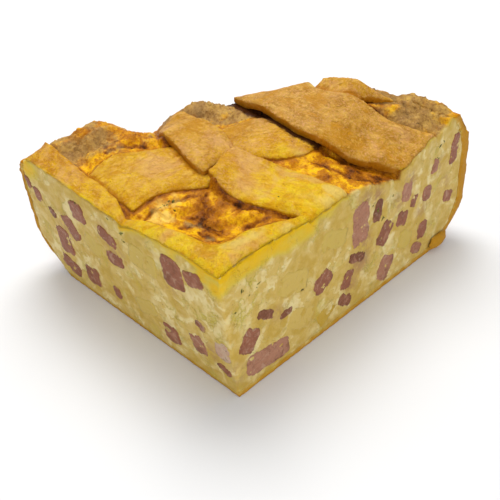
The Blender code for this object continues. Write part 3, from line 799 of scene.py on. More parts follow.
def set_surface(tree, shader, colour, roughness, height, depth, gloss=0.0):
    """Feeds the shader its colour, roughness and bump."""
    tree.links.new(colour, shader.inputs["Base Color"])
    tree.links.new(roughness, shader.inputs["Roughness"])
    bump = add(tree, "Bump", {"Height": height, "Strength": 1.0, "Distance": depth})
    tree.links.new(bump.outputs["Normal"], shader.inputs["Normal"])
    shader.inputs["Specular IOR Level"].default_value = SHEEN
    shader.inputs["Coat Weight"].default_value = gloss
    shader.inputs["Coat Roughness"].default_value = 0.25


def let_light_in(shader, weight, radius):
    """Lets a little light into a moist surface."""
    shader.inputs["Subsurface Weight"].default_value = weight
    shader.inputs["Subsurface Radius"].default_value = radius
    shader.inputs["Subsurface Scale"].default_value = 0.5


def build_pastry_material(colours):
    """Baked dough of the strips, from matt tan at the back to glossy yellow at the front."""
    material, tree, shader, vector = new_material("pastry")
    mottle = use_mottle(tree, vector, 230.0, 1300.0)
    golden = attribute(tree, "golden")
    tan = mixed(tree, mottle["Blotch"], colours.tan, colours.tan_deep)
    tan = mixed(tree, calculate(tree, "MULTIPLY", mottle["Freckle"], 0.7), tan, colours.tan_freckle)
    gold = mixed(tree, mottle["Blotch"], colours.gold, colours.gold_deep)
    gold = mixed(tree, calculate(tree, "MULTIPLY", mottle["Freckle"], 0.55), gold, colours.tan_freckle)
    yellow = mixed(tree, mottle["Blotch"], colours.yellow, colours.yellow_deep)
    colour = mixed(tree, step(tree, golden, 0.0, 1.0), tan, gold)
    colour = mixed(tree, step(tree, golden, 1.0, 2.0), colour, yellow)
    broad = cloud(tree, vector, 75.0, 4.0, 0.6, 0.6)
    colour = tinted(tree, colour, colours.gold_deep, 0.6, broad, 0.48, 0.36)
    colour = tinted(tree, colour, colours.tan_freckle, 0.5, broad, 0.52, 0.66)
    specks = cloud(tree, vector, 1900.0, 3.0, 0.7)
    colour = tinted(tree, colour, colours.skin_brown, 0.35, specks, 0.42, 0.3)
    lie = add(tree, "Attribute", attribute_name="lie").outputs["Vector"]
    streak = cloud(tree, lie, 620.0, 6.0, 0.7, 0.5)
    colour = tinted(tree, colour, colours.pastry_light, 0.5, streak, 0.52, 0.64)
    colour = tinted(tree, colour, colours.gold_deep, 0.6, streak, 0.47, 0.34)
    uneven = calculate(tree, "MULTIPLY_ADD", mottle["Blotch"], 0.4, -0.2)
    # Toast: real browned places, plus painted shade on the strips' sides and beside the strips over the cross
    # strip
    toast_and_shade = step(tree, calculate(tree, "ADD", attribute(tree, "toast"), uneven), 0.1, 1.0)
    colour = mixed(tree, toast_and_shade, colour, colours.skin_brown)
    # Painted highlight: the strips' pale places turn pale, standing in for the gloss of the egg wash
    soft = calculate(tree, "MULTIPLY_ADD", cloud(tree, vector, 300.0, 4.0, 0.5), 0.9, -0.45)
    paled = step(tree, calculate(tree, "SUBTRACT", attribute(tree, "pale"), soft), 0.2, 0.95, 0.0, 0.85)
    colour = mixed(tree, paled, colour, colours.cream_and_highlight)
    # Painted shadow of the wide strip on the cross strip, from the dark mark
    painted_shadow = step(tree, calculate(tree, "ADD", attribute(tree, "dark"), uneven), 0.15, 0.9)
    colour = mixed(tree, painted_shadow, colour, colours.skin_dark_and_shadow)
    melt = attribute(tree, "melt")
    glaze = attribute(tree, "glaze")
    edge = mixed(tree, glaze, colours.tan_deep, colours.melted)
    colour = mixed(tree, step(tree, melt, 0.1, 0.6), colour, edge)
    curds = use_group(tree, "Cut Curds", {"Vector": vector, "Glaze": glaze, "Curdled": 0.0})
    unglazed = calculate(tree, "SUBTRACT", 1.0, glaze)
    bare = calculate(tree, "MULTIPLY", step(tree, melt, 0.7, 1.0), unglazed)
    colour = mixed(tree, bare, colour, curds["Color"])
    roughness = step(tree, golden, 0.0, 2.0, 0.55, 0.3)
    roughness = calculate(tree, "MULTIPLY_ADD", mottle["Freckle"], 0.12, roughness)
    height = calculate(tree, "MULTIPLY_ADD", streak, 1.2, mottle["Height"])
    set_surface(tree, shader, colour, roughness, height, 0.0011, 0.06)
    return material


def build_filling_material(colours):
    """Curds and custard at the cuts, and the browned skin on top."""
    material, tree, shader, vector = new_material("egg_and_cheese_filling")
    marks = {socket: attribute(tree, socket.lower()) for socket in ("Glaze", "Curdled", "Stain")}
    curds = use_group(tree, "Cut Curds", {"Vector": vector, **marks})
    skin = use_browned_skin(tree, vector)
    on_top = attribute(tree, "skin")
    colour = mixed(tree, on_top, curds["Color"], skin["Color"])
    height = between(tree, on_top, curds["Height"], skin["Height"])
    rough = between(tree, on_top, 0.42, skin["Roughness"])
    set_surface(tree, shader, colour, rough, height, 0.0006, 0.04)
    let_light_in(shader, 0.12, (0.004, 0.0025, 0.001))
    return material


def build_crust_material(colours):
    """Baked crust, paler where it is cut and browned at the rim."""
    material, tree, shader, vector = new_material("baked_crust")
    mottle = use_mottle(tree, vector, 150.0, 800.0)
    share = calculate(tree, "MULTIPLY_ADD", mottle["Freckle"], 0.35, calculate(
        tree, "MULTIPLY", mottle["Blotch"], 0.75))
    outer = mixed(tree, share, colours.crust, colours.crust_deep)
    cut = mixed(tree, calculate(tree, "MULTIPLY", mottle["Blotch"], 0.45), colours.crust_cut, colours.crust)
    curds = use_group(tree, "Cut Curds", {"Vector": vector, "Glaze": 0.2, "Curdled": 0.0})
    cut = mixed(tree, attribute(tree, "curdy"), cut, curds["Color"])
    colour = mixed(tree, attribute(tree, "cut"), outer, cut)
    skin = use_browned_skin(tree, vector)
    on_top = attribute(tree, "skin")
    colour = mixed(tree, on_top, colour, skin["Color"])
    height = between(tree, on_top, mottle["Height"], skin["Height"])
    roughness = step(tree, mottle["Freckle"], 0.0, 1.0, 0.5, 0.65)
    set_surface(tree, shader, colour, roughness, height, 0.0005)
    return material


def build_ham_material(colours):
    """Moist ham with light streaks of fat."""
    material, tree, shader, vector = new_material("cured_ham")
    tone = attribute(tree, "tone")
    grain = cloud(tree, vector, 700.0, 4.0, 0.65, 1.0)
    streak = cloud(tree, vector, 260.0, 2.0, 0.5, 2.0)
    base = mixed(tree, step(tree, tone, 0.0, 1.0), colours.ham, colours.ham_light)
    base = mixed(tree, step(tree, tone, 0.0, -1.0), base, colours.ham_dark)
    base = mixed(tree, step(tree, tone, 1.0, 2.0), base, colours.ham_pale)
    colour = tinted(tree, base, colours.ham_light, 0.45, grain, 0.5, 0.72)
    colour = tinted(tree, colour, colours.ham_dark, 0.6, grain, 0.47, 0.28)
    colour = tinted(tree, colour, colours.ham_pale, 0.35, streak, 0.56, 0.72)
    broad = cloud(tree, vector, 190.0, 3.0, 0.6, 0.8)
    colour = tinted(tree, colour, colours.ham_light, 0.5, broad, 0.54, 0.7)
    colour = tinted(tree, colour, colours.ham_dark, 0.45, broad, 0.46, 0.32)
    ragged = calculate(tree, "MULTIPLY_ADD", cloud(tree, vector, 420.0, 4.0, 0.6), 1.3, -0.65)
    faded = step(tree, calculate(tree, "ADD", attribute(tree, "rim"), ragged), 0.74, 1.2, 0.0, 0.75)
    colour = mixed(tree, faded, colour, colours.curd)
    roughness = step(tree, grain, 0.3, 0.7, 0.34, 0.5)
    set_surface(tree, shader, colour, roughness, grain, 0.00035, 0.05)
    let_light_in(shader, 0.08, (0.003, 0.001, 0.0006))
    return material


def build_cheese_material(colours):
    """Smooth, slightly clear cheese."""
    material, tree, shader, vector = new_material("smooth_cheese")
    tone = attribute(tree, "tone")
    grain = cloud(tree, vector, 320.0, 3.0, 0.5, 0.6)
    base = mixed(tree, step(tree, tone, 0.0, 1.0), colours.cheese, colours.curd)
    base = mixed(tree, step(tree, tone, 0.0, -1.0), base, colours.cheese_deep)
    colour = tinted(tree, base, colours.curd, 0.35, grain, 0.45, 0.75)
    # Painted shade: the low spots of the grain are darker
    colour = tinted(tree, colour, colours.hollow, 0.3, grain, 0.42, 0.22)
    set_surface(tree, shader, colour, step(tree, grain, 0.3, 0.7, 0.28, 0.4), grain, 0.0003, 0.06)
    let_light_in(shader, 0.15, (0.004, 0.003, 0.001))
    return material


def build_speck_material(name, colour, lighter):
    """Herbs, pepper and burnt specks."""
    material, tree, shader, vector = new_material(name)
    grain = cloud(tree, vector, 1500.0, 3.0, 0.6)
    mottled = mixed(tree, step(tree, grain, 0.4, 0.65), colour, lighter)
    set_surface(tree, shader, mottled, step(tree, grain, 0.3, 0.7, 0.4, 0.65), grain, 0.0002)
    return material


def material_named(name, build, *values):
    """Material of that name, built once."""
    return bpy.data.materials.get(name) or build(*values)


def dress(piece, material, slot, *nodes):
    """Gives a piece its material and its body, and hides the CAD nodes that it stands for; the slot is not
    used.
    """
    piece.data.materials.clear()
    piece.data.materials.append(material)
    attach(piece, BODY)
    if nodes:
        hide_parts(*nodes)


# Pieces


class PIE_OT_groups(bpy.types.Operator):
    """Builds the shader groups that several materials share"""

    bl_idname = "pie.groups"
    bl_label = "Shared finishes"

    def execute(self, context):
        """Builds the groups."""
        build_mottle_group()
        build_skin_group(context.scene.pie_colours)
        build_curd_group(context.scene.pie_colours)
        return {"FINISHED"}


class PIE_OT_strips(bpy.types.Operator):
    """Models the pastry strips of the lattice"""

    bl_idname = "pie.strips"
    bl_label = "Pastry strips"

    def execute(self, context):
        """Builds each strip from its solid."""
        sizes = context.scene.pie_sizes
        material = material_named("pastry", build_pastry_material, context.scene.pie_colours)
        for node, (name, slot, start, end) in STRIPS.items():
            piece = merged_copy(node, name)
            remesh(piece, sizes.strip_cell)
            finish_modifier(piece, "SMOOTH", "rolled edges", factor=0.5, iterations=7)
            self.settle(piece, node, sizes)
            relief(piece, "dough waves", 9.0, sizes.dough_wave)
            relief(piece, "dough blisters", 2.6, sizes.dough_wave * 0.45, hard=True)
            finish_modifier(piece, "SMOOTH", "soft dough", factor=0.5, iterations=2)
            self.tint(piece, node, start, end)
            dress(piece, material, slot, node)
        self.shade_strips()
        return {"FINISHED"}

    def shade_strips(self):
        """Paints the wide strip's shadow on the cross strip, and browning with painted shade beside the
        others.
        """
        cross = strip_piece("strip_cross")
        others = [strip_piece(node) for node in STRIPS if node != "strip_cross"]
        places = on_block(cross)
        by_wide = distance_to(places, [strip_piece("strip_wide")])
        by_strips = distance_to(places, others)
        under_edge = (places[:, 0] < 74) & (places[:, 1] > 20)
        # Painted shadow of the wide strip, below its left edge
        mark(cross, "dark", np.where(under_edge, 1.05 * fall(by_wide, 0.8, 4.2), 0.0))
        toast_and_shade = cross.data.attributes["toast"].data
        toast = np.empty(len(places), np.float32)
        toast_and_shade.foreach_get("value", toast)
        # Browner beside the other strips: partly browning and partly painted shade where they lie over it
        toast = np.maximum(toast, 0.75 * fall(by_strips, 0.5, 2.6))
        toast_and_shade.foreach_set("value", toast.astype(np.float32))
        for piece in others:
            mark(piece, "dark", np.zeros(len(piece.data.vertices)))

    def settle(self, piece, node, sizes):
        """Sinks a strip's underside into what it lies on, and laps it over its neighbours."""
        places = on_block(piece)
        # Views of the columns, so a change in them moves the places
        x, y, z = places.T
        normals = vertex_normals(piece)
        below = ramp(-normals[:, 2], -0.1, 0.5)
        z -= below * sizes.strip_seat / MM
        if node == "strip_far":
            # Its back end hangs into the rim's hollow, and its front end lies low under the near strip
            end = ramp(y, 60.0, 76.0)
            z -= 1.5 * end
            y -= 1.5 * end
            sink_rim(places)
            z -= 0.5 * fall(y, 37.5, 42.0)
        if node == "strip_cross":
            # Hump behind the wide strip, with an edge that droops towards the viewer
            z += 3.2 * ramp(x, 84.0, 95.0) * fall(x, 96.0, 106.0)
            droop = ramp(x, 88.0, 93.0) * fall(y, 26.0, 33.0)
            y -= 4.0 * droop
            z -= 3.4 * droop
            # Its left part is broader, and its left end is tucked below the edge strip
            reached = ramp(x, 18.0, 30.0) * fall(x, 35.0, 42.0)
            y -= 4.2 * reached * fall(y, 44.0, 52.0)
            tuck = fall(x, 9.0, 13.0)
            x -= 2.2 * tuck
            z -= 0.7 * tuck
        if node == "strip_wide":
            # Its front left tip stands up a little
            tip = fall(y + 0.45 * (x - 83.6), 1.0, 9.0)
            z += 1.0 * tip
            x += 1.3 * tip
        if node == "strip_near":
            # Its back end laps over the cross strip, and its left edge lies higher than the window
            lap = ramp(y, 31.0, 37.0)
            from_edge = x - np.interp(y, *NEAR_EDGE)
            y += lap * (2.4 - 3.6 * fall(from_edge, 2.0, 11.0))
            z += lap * (1.2 - 1.4 * fall(from_edge, 1.0, 8.0))
            z += 1.5 * fall(from_edge, 0.5, 9.0) * ramp(y, 3.0, 12.0)
        if node == "strip_corner":
            # Its two ends reach the edge strip and the near strip, and its right leg is broader
            lap = ramp(y, 37.0, 41.0)
            y += 2.4 * lap
            z -= 0.6 * lap
            broader = ramp(right_depth(places), 2.0, 5.0) * ramp(x, 13.0, 20.0)
            y += 1.4 * broader
            lap = ramp(x, 33.0, 37.0)
            x += 2.2 * lap
            z -= 0.4 * lap
        self.thin_at_cut(places, normals, node)
        put_on_block(piece, places)

    def thin_at_cut(self, places, normals, node):
        """Rolls a strip's top down to the cut, and leaves only a thin lip of dough there."""
        lip, _, _, roll, _, _ = MEETINGS[node]
        depths = np.stack([left_depth(places), right_depth(places)])
        nearest = depths.min(axis=0)
        below = self.below_top(places, normals, nearest)
        places[:, 2] -= roll * fall(nearest, 0.0, 3.4) ** 2 * (below < lip)
        drawn = 1.5 * ramp(below, lip, lip + 0.5)
        for axis in (0, 1):
            places[:, axis] += drawn * (depths[axis] < 1.2)

    def below_top(self, places, normals, depths):
        """How far each point of a strip's cut sides is below its top, and 0 elsewhere."""
        at_cut = (depths < 1.2) & (normals[:, 2] < 0.8)
        upper = np.nonzero((normals[:, 2] > 0.8) & (depths < 3.5))[0]
        below = np.zeros(len(places))
        if at_cut.any() and len(upper):
            tree = plan_tree(places, upper)
            for index in np.nonzero(at_cut)[0]:
                _, found, _ = tree.find((places[index, 0], places[index, 1], 0.0))
                below[index] = max(0.0, places[found, 2] - places[index, 2])
        return below

    def tint(self, piece, node, start, end):
        """Marks where a strip is golden, browned or pale; the pale places are painted highlights, and the
        sides are painted browner, partly as shade.
        """
        places = on_block(piece)
        normals = vertex_normals(piece)
        way = places[:, 0] if node == "strip_cross" else -places[:, 1]
        share = ramp(way, way.min(), way.max())
        golden = start + (end - start) * share
        moved = warped(places, 6.0, 2.5)
        # The sides are painted browner: partly browned edges and partly painted shade on the steep sides
        side = fall(normals[:, 2], 0.2, 0.6)
        cut = cut_depth(places)
        at_cut = fall(cut, 0.3, 0.9)
        toast = 0.9 * side * (1.0 - at_cut)
        spots = STRIP_PLACES[node]
        # The pale places are painted highlights on the glossy strips.
        pale = in_places(moved, spots.get("pale", ()))
        toast = np.maximum(toast, in_places(moved, spots.get("toast", ())))
        golden = golden + in_places(moved, spots.get("more", ())) - in_places(moved, spots.get("less", ()))
        if node == "strip_corner":
            toast = toast * 0.3
        if node == "strip_edge":
            golden = golden + 0.8 * at_cut
            toast = np.maximum(toast, 0.45 * ramp(places[:, 1], 66.0, 92.0))
        below = self.below_top(places, normals, cut)
        melt = ramp(below + 0.35 * noise_at(places, 1.6), 0.45, MEETINGS[node][0] + 0.2)
        mark(piece, "melt", melt)
        mark(piece, "glaze", np.full(len(places), MEETINGS[node][5]))
        angle = math.radians(STRIP_ANGLES[node])
        along = places[:, 0] * np.cos(angle) + places[:, 1] * np.sin(angle)
        across = places[:, 1] * np.cos(angle) - places[:, 0] * np.sin(angle)
        stretch = 1.0 if node == "strip_corner" else 0.5
        lie = np.stack([along * stretch, across, places[:, 2]], axis=1)
        mark_vector(piece, "lie", warped(lie, 9.0, 1.6) * MM)
        mark(piece, "golden", golden)
        mark(piece, "toast", toast)
        mark(piece, "pale", pale)


def mark_skin(piece, on_top):
    """Marks a browned top's colour: by named places, with browning and painted shade beside the strips."""
    places = on_block(piece)
    moved = warped(places, 5.0, 2.6)
    gold = in_places(moved, GOLD_PLACES)
    away = np.full(len(places), 9.0)
    by_wide = np.full(len(places), 9.0)
    shown = np.nonzero(on_top > SEEN)[0]
    away[shown] = distance_to(places[shown], [strip_piece(node) for node in STRIPS])
    by_wide[shown] = distance_to(places[shown], [strip_piece("strip_wide")])
    brown = np.maximum(0.16, 0.75 * in_places(moved, BROWN_PLACES))
    # Browner right beside the strips: partly browning and partly painted shade where they meet the top
    brown = np.maximum(brown, 0.6 * fall(away, 0.4, 2.6))
    brown = brown * (1.0 - 0.85 * gold)
    wavy = warped(places, 2.6, 1.3)
    # The creases are painted brown: partly browning and partly painted shade in their grooves
    for points, width, strength in CREASES:
        brown = np.maximum(brown, strength * near_line(wavy[:, :2], points, width))
    # Painted shadow beside the wide strip's left edge, partly deep browning
    dark = np.where((places[:, 0] < 88) & (places[:, 1] > -4), 1.35 * fall(by_wide, 1.2, 4.8), 0.0)
    dark *= 0.25 + 0.75 * ramp(places[:, 1], 22.0, 34.0)
    mark(piece, "brown", brown)
    behind = 0.3 * ramp(places[:, 1], 60.0, 68.0)
    mark(piece, "grey", np.maximum(in_places(moved, GREY_PLACES), behind))
    mark(piece, "pale", in_places(moved, PALE_PLACES))
    mark(piece, "dark", dark)
    mark(piece, "skin", on_top)


def close_pockets(piece):
    """Joins to the filling a plug for each chunk's pocket, so that it has a whole cut face."""
    plugs = []
    for kind, tones in (("ham", HAM_TONES), ("cheese", CHEESE_TONES)):
        for side, values in tones.items():
            depth_of = left_depth if side == "left" else right_depth
            for number in range(1, len(values) + 1):
                plug = merged_copy(f"{kind}_{side}_{number:02d}", "plug")
                finish_modifier(plug, "DISPLACE", "fills its pocket", strength=PLUG_GROWTH * MM,
                                mid_level=0.0)
                places = on_block(plug)
                places[:, 0 if side == "left" else 1] += np.maximum(0.0, PLUG_SEAT - depth_of(places))
                put_on_block(plug, places)
                plugs.append(plug)
    activate(piece)
    for plug in plugs:
        plug.select_set(True)
    bpy.ops.object.join()


class PIE_OT_filling(bpy.types.Operator):
    """Models the egg and cheese filling with its browned top"""

    bl_idname = "pie.filling"
    bl_label = "Filling"

    def execute(self, context):
        """Builds the filling from its solid."""
        sizes = context.scene.pie_sizes
        colours = context.scene.pie_colours
        material = material_named("egg_and_cheese_filling", build_filling_material, colours)
        piece = merged_copy("filling", "egg_and_cheese")
        close_pockets(piece)
        remesh(piece, sizes.filling_cell)
        strips = [strip_piece(node) for node in STRIPS]
        self.refine(piece, strips)
        places = on_block(piece)
        normals = vertex_normals(piece)
        inside = cut_depth(places)
        on_top = ramp(normals[:, 2], 0.2, 0.6) * ramp(places[:, 2], 35.0, 37.0) * ramp(inside, 0.1, 0.6)
        on_cut = at_cuts(places, on_top)
        open_top = on_top.copy()
        shown = np.nonzero(on_top > SEEN)[0]
        away = distance_to(places[shown], strips)
        open_top[shown] *= ramp(away, 0.5, 3.5)
        smooth_skin = in_places(places, ((12, 74, 8, 0.9), (24, 78, 9, 0.9), (33, 77, 7, 0.9)))
        top_group = group(piece, "open top", open_top * (1.0 - 0.6 * smooth_skin))
        cut_group = group(piece, "cut", on_cut)
        back = np.where(on_top < 0.3, ramp(inside, 0.3, 0.9), 0.0)
        back_group = group(piece, "hidden sides", back)
        finish_modifier(piece, "DISPLACE", "meets the crust", strength=0.45 * MM, mid_level=0.0,
                        vertex_group=back_group)
        self.reach_foot(piece)
        self.lap_over_rim(piece, sizes)
        self.fold_skin(piece, on_top)
        self.meet_strips(piece, on_top)
        finish_modifier(piece, "DISPLACE", "risen egg", strength=sizes.rise, mid_level=0.0,
                        vertex_group=top_group)
        relief(piece, "crags", 5.0, sizes.crag_height, top_group, hard=True, depth=3, middle=0.35)
        relief(piece, "wrinkles", 1.7, sizes.wrinkle_height, top_group, hard=True, depth=2, middle=0.35)
        relief(piece, "curds", 3.2, sizes.curd_height, cut_group, depth=2, middle=0.52)
        relief(piece, "curd grain", 1.3, sizes.curd_height * 0.3, cut_group, hard=True, depth=2, middle=0.4)
        piece.vertex_groups.clear()
        mark_skin(piece, on_top * ramp(inside, 0.5, 1.6))
        self.mark_cuts(piece, on_cut)
        dress(piece, material, "filling", "filling")
        return {"FINISHED"}

    def mark_cuts(self, piece, on_cut):
        """Marks the cuts' glaze below the strips, their crumbly and smooth places and the ham's juice."""
        places = on_block(piece)
        side = np.nonzero((on_cut > 0.1) & (places[:, 2] > TOP_ZONE))[0]
        moved = warped(places[side], 7.0, 1.4)
        glaze = np.zeros(len(places))
        for node, (*_, reach, strength) in MEETINGS.items():
            strip = strip_piece(node)
            reaches = reach * np.where(left_depth(places[side]) < right_depth(places[side]), LEFT_GLAZE, 1.0)
            share = fall(distance_to(moved, [strip]), 0.0, reaches)
            glaze[side] = np.maximum(glaze[side], strength * share)
        along_left = left_depth(places) < right_depth(places)
        along = np.where(along_left, -places[:, 1], places[:, 0])
        on_face = np.stack([along, places[:, 2]], axis=1)
        runs = in_places(np.stack([places[:, 1], places[:, 2]], axis=1), GLAZE_RUNS) * along_left
        mark(piece, "glaze", np.maximum(glaze, runs * on_cut))
        mark(piece, "curdled", in_places(on_face, CURD_PLACES) - in_places(on_face, SMOOTH_PLACES))
        mark(piece, "stain", in_places(on_face, STAIN_PLACES))

    def refine(self, piece, strips):
        """Halves the cells where the filling shows: on the cuts and in the windows of the lattice."""
        places = on_block(piece)
        normals = vertex_normals(piece)
        inside = cut_depth(places)
        top = np.nonzero((normals[:, 2] > 0.3) & (places[:, 2] > 36.0))[0]
        shown = inside < 0.5
        shown[top[distance_to(places[top], strips) > 1.0]] = True
        mesh = piece.data
        mesh.polygons.foreach_set("select", [False] * len(mesh.polygons))
        mesh.edges.foreach_set("select", [False] * len(mesh.edges))
        mesh.vertices.foreach_set("select", [False] * len(mesh.vertices))
        chosen = [all(shown[i] for i in polygon.vertices) for polygon in mesh.polygons]
        mesh.polygons.foreach_set("select", chosen)
        activate(piece)
        bpy.ops.object.mode_set(mode="EDIT")
        bpy.ops.mesh.select_mode(type="FACE")
        bpy.ops.mesh.subdivide(number_cuts=1)
        bpy.ops.object.mode_set(mode="OBJECT")

    def fold_skin(self, piece, on_top):
        """Raises the folds of the browned top and sinks its hollows."""
        places = on_block(piece)
        top = np.nonzero(on_top > SEEN)[0]
        flat = places[top, :2]
        for points, height, width in FOLDS:
            places[top, 2] += on_top[top] * height * near_line(flat, points, width)
        for points, width, strength in CREASES:
            places[top, 2] -= on_top[top] * 0.5 * strength * near_line(flat, points, width)
        sink_rim(places)
        put_on_block(piece, places)

    def meet_strips(self, piece, on_top):
        """Raises the filling below and beside the strips, so that they lie in it and end thin."""
        places = on_block(piece)
        high = np.nonzero(places[:, 2] > TOP_ZONE)[0]
        tree = plan_tree(places, np.nonzero(on_top > 0.5)[0])
        levels = places[:, 2].copy()
        for index in high[on_top[high] <= 0.5]:
            levels[index] = places[tree.find((places[index, 0], places[index, 1], 0.0))[1], 2]
        inside = cut_depth(places)
        rises = np.zeros(len(places))
        ceilings = np.full(len(places), FAR_AWAY)
        from_rim = fall(np.linalg.norm(places[:, :2] - np.array(PIE_CENTRE), axis=1), 135.0, 141.0)
        from_rim = np.maximum(from_rim, fall(inside, 1.0, 4.0))
        for node, (at_cut, in_open, reach, *_) in MEETINGS.items():
            strip = strip_piece(node)
            tops = on_block(strip)[vertex_normals(strip)[:, 2] > 0.6]
            tree = plan_tree(tops, range(len(tops)))
            for index in high:
                x, y, z = places[index]
                if node == "strip_wide" and x < np.interp(y, *WIDE_EDGE) + WIDE_EDGE_SPARE:
                    continue
                _, number, away = tree.find((x, y, 0.0))
                if away > reach:
                    continue
                if away < BELOW_STRIP:
                    ceilings[index] = min(ceilings[index], tops[number, 2] - BELOW_STRIP)
                depth = in_open + (at_cut - in_open) * (1.0 - min(max(inside[index] / 3.0, 0.0), 1.0))
                reached = reach
                if node == "strip_near" and x < np.interp(y, *NEAR_EDGE):
                    reached = NEAR_EDGE_REACH
                share = 1.0 - min(max((away - 0.6) / (reached - 0.6), 0.0), 1.0)
                rise = share * share * (3.0 - 2.0 * share) * max(0.0, tops[number, 2] - depth - levels[index])
                rises[index] = max(rises[index], rise)
        rises = np.minimum(rises * from_rim, np.maximum(0.0, ceilings - levels))
        places[:, 2] += rises * ramp(places[:, 2], levels - RISE_DEPTH, levels)
        put_on_block(piece, places)

    def reach_foot(self, piece):
        """Draws the cut faces' lower edges down on the bottom crust, so that no gap shows."""
        places = on_block(piece)
        inside = cut_depth(places)
        near_foot = fall(places[:, 2], places[:, 2].min() + 0.6, places[:, 2].min() + 2.4)
        places[:, 2] -= 0.9 * near_foot * fall(inside, 0.8, 2.0)
        put_on_block(piece, places)

    def lap_over_rim(self, piece, sizes):
        """Spreads the top's back edge a little over the crust, so that the browned skin is one surface."""
        places = on_block(piece)
        normals = vertex_normals(piece)
        outward = places[:, :2] - np.array(PIE_CENTRE)
        reach = np.linalg.norm(outward, axis=1)
        outward /= reach[:, None]
        facing = (normals[:, :2] * outward).sum(axis=1)
        inside = cut_depth(places)
        share = ramp(facing, 0.05, 0.4) * ramp(places[:, 2], 40.0, 46.0) * ramp(inside, 0.5, 2.5)
        places[:, :2] += outward * (share * sizes.rim_lap / MM)[:, None]
        put_on_block(piece, places)


class PIE_OT_crust(bpy.types.Operator):
    """Models the bottom and the outer wall of crust"""

    bl_idname = "pie.crust"
    bl_label = "Crust"

    def execute(self, context):
        """Builds the crust from its solid."""
        sizes = context.scene.pie_sizes
        material = material_named("baked_crust", build_crust_material, context.scene.pie_colours)
        piece = merged_copy("crust_shell", "crust")
        remesh(piece, sizes.crust_cell)
        places = on_block(piece)
        on_top = ramp(vertex_normals(piece)[:, 2], 0.15, 0.55) * ramp(places[:, 2], 35.0, 40.0)
        on_cut = at_cuts(places, on_top)
        wall = (1.0 - on_top) * (1.0 - on_cut) * ramp(places[:, 2], 0.3, 2.0)
        sink_rim(places)
        put_on_block(piece, places)
        relief(piece, "crags", 5.0, sizes.crag_height, group(piece, "rim", on_top), hard=True, depth=3,
               middle=0.35)
        relief(piece, "baked wall", 8.0, sizes.dough_wave, group(piece, "wall", wall))
        all_sides = group(piece, "all sides", np.maximum(wall, on_cut))
        relief(piece, "blisters", 2.2, sizes.dough_wave * 0.5, all_sides, hard=True)
        piece.vertex_groups.clear()
        mark_skin(piece, on_top)
        mark(piece, "cut", on_cut)
        cut = np.nonzero(on_cut > 0.1)[0]
        curdy = np.zeros(len(places))
        by_filling = distance_to(warped(places[cut], 3.0, 0.5), [bpy.data.objects["egg_and_cheese"]])
        curdy[cut] = fall(by_filling, 0.2, 0.9)
        mark(piece, "curdy", curdy)
        dress(piece, material, "crust", "crust_shell")
        return {"FINISHED"}


def nearness_to_edge(piece, side):
    """How near each point of a chunk's cut face is to the chunk's edge."""
    places = on_block(piece)
    outward = -vertex_normals(piece)[:, 0 if side == "left" else 1]
    edge = places[outward < 0.6]
    away = distance_between(places, edge)
    return fall(away + 0.5 * noise_at(places, 2.5), 0.1, 1.5)


def build_chunks(kind, tones, material, sizes, softness, proud):
    """Chunks of one kind, each from its solid, grown into the gap round it and flush with its cut."""
    for side, values in tones.items():
        depth_of = left_depth if side == "left" else right_depth
        for number, tone in enumerate(values, 1):
            node = f"{kind}_{side}_{number:02d}"
            piece = merged_copy(node, f"{kind}_chunk_{side}_{number:02d}")
            remesh(piece, sizes.chunk_cell)
            finish_modifier(piece, "SMOOTH", "soft corners", factor=0.5, iterations=softness)
            finish_modifier(piece, "DISPLACE", "fills its pocket", strength=sizes.chunk_growth, mid_level=0.0)
            relief(piece, "uneven", 2.2, 1.9 * MM, depth=3)
            places = on_block(piece)
            depth = depth_of(places)
            stand = sizes.chunk_stand / MM * (proud + 1.2 * noise_at(places, 2.4, number))
            push = np.maximum(0.0, -stand - depth)
            places[:, 0 if side == "left" else 1] += push
            put_on_block(piece, places)
            mark(piece, "tone", np.full(len(places), tone))
            mark(piece, "rim", nearness_to_edge(piece, side))
            dress(piece, material, kind, node)


class PIE_OT_ham(bpy.types.Operator):
    """Models the chunks of ham on the cut faces"""

    bl_idname = "pie.ham"
    bl_label = "Ham"

    def execute(self, context):
        """Builds the chunks."""
        material = material_named("cured_ham", build_ham_material, context.scene.pie_colours)
        build_chunks("ham", HAM_TONES, material, context.scene.pie_sizes, 1, 0.9)
        return {"FINISHED"}


class PIE_OT_cheese(bpy.types.Operator):
    """Models the cubes of cheese on the cut faces"""

    bl_idname = "pie.cheese"
    bl_label = "Cheese"

    def execute(self, context):
        """Builds the cubes."""
        material = material_named("smooth_cheese", build_cheese_material, context.scene.pie_colours)
        build_chunks("cheese", CHEESE_TONES, material, context.scene.pie_sizes, 6, 0.1)
        return {"FINISHED"}


def place_on_left(distance, height):
    """Point of the left cut face, and the way out of it."""
    return Vector((LEFT_CUT_LEAN * (1.0 - height / HEIGHT), distance, height)), Vector((-1, 0, 0))


def place_on_right(distance, height):
    """Point of the right cut face, and the way out of it."""
    return Vector((distance, RIGHT_CUT_LEAN * (1.0 - height / HEIGHT), height)), Vector((0, -1, 0))


def surface_point(place, out, pieces):
    """Where a ray from outside meets the pieces, and the normal there, in metres."""
    start = (place + CORNER) * MM + out * 30 * MM
    best = None
    for piece in pieces:
        hit, point, normal, _ = piece.ray_cast(start, -out)
        if hit and (best is None or (point - start).length < (best[0] - start).length):
            best = (point, normal)
    if best is None:
        raise RuntimeError(f"no surface at {place[:]}")
    return best


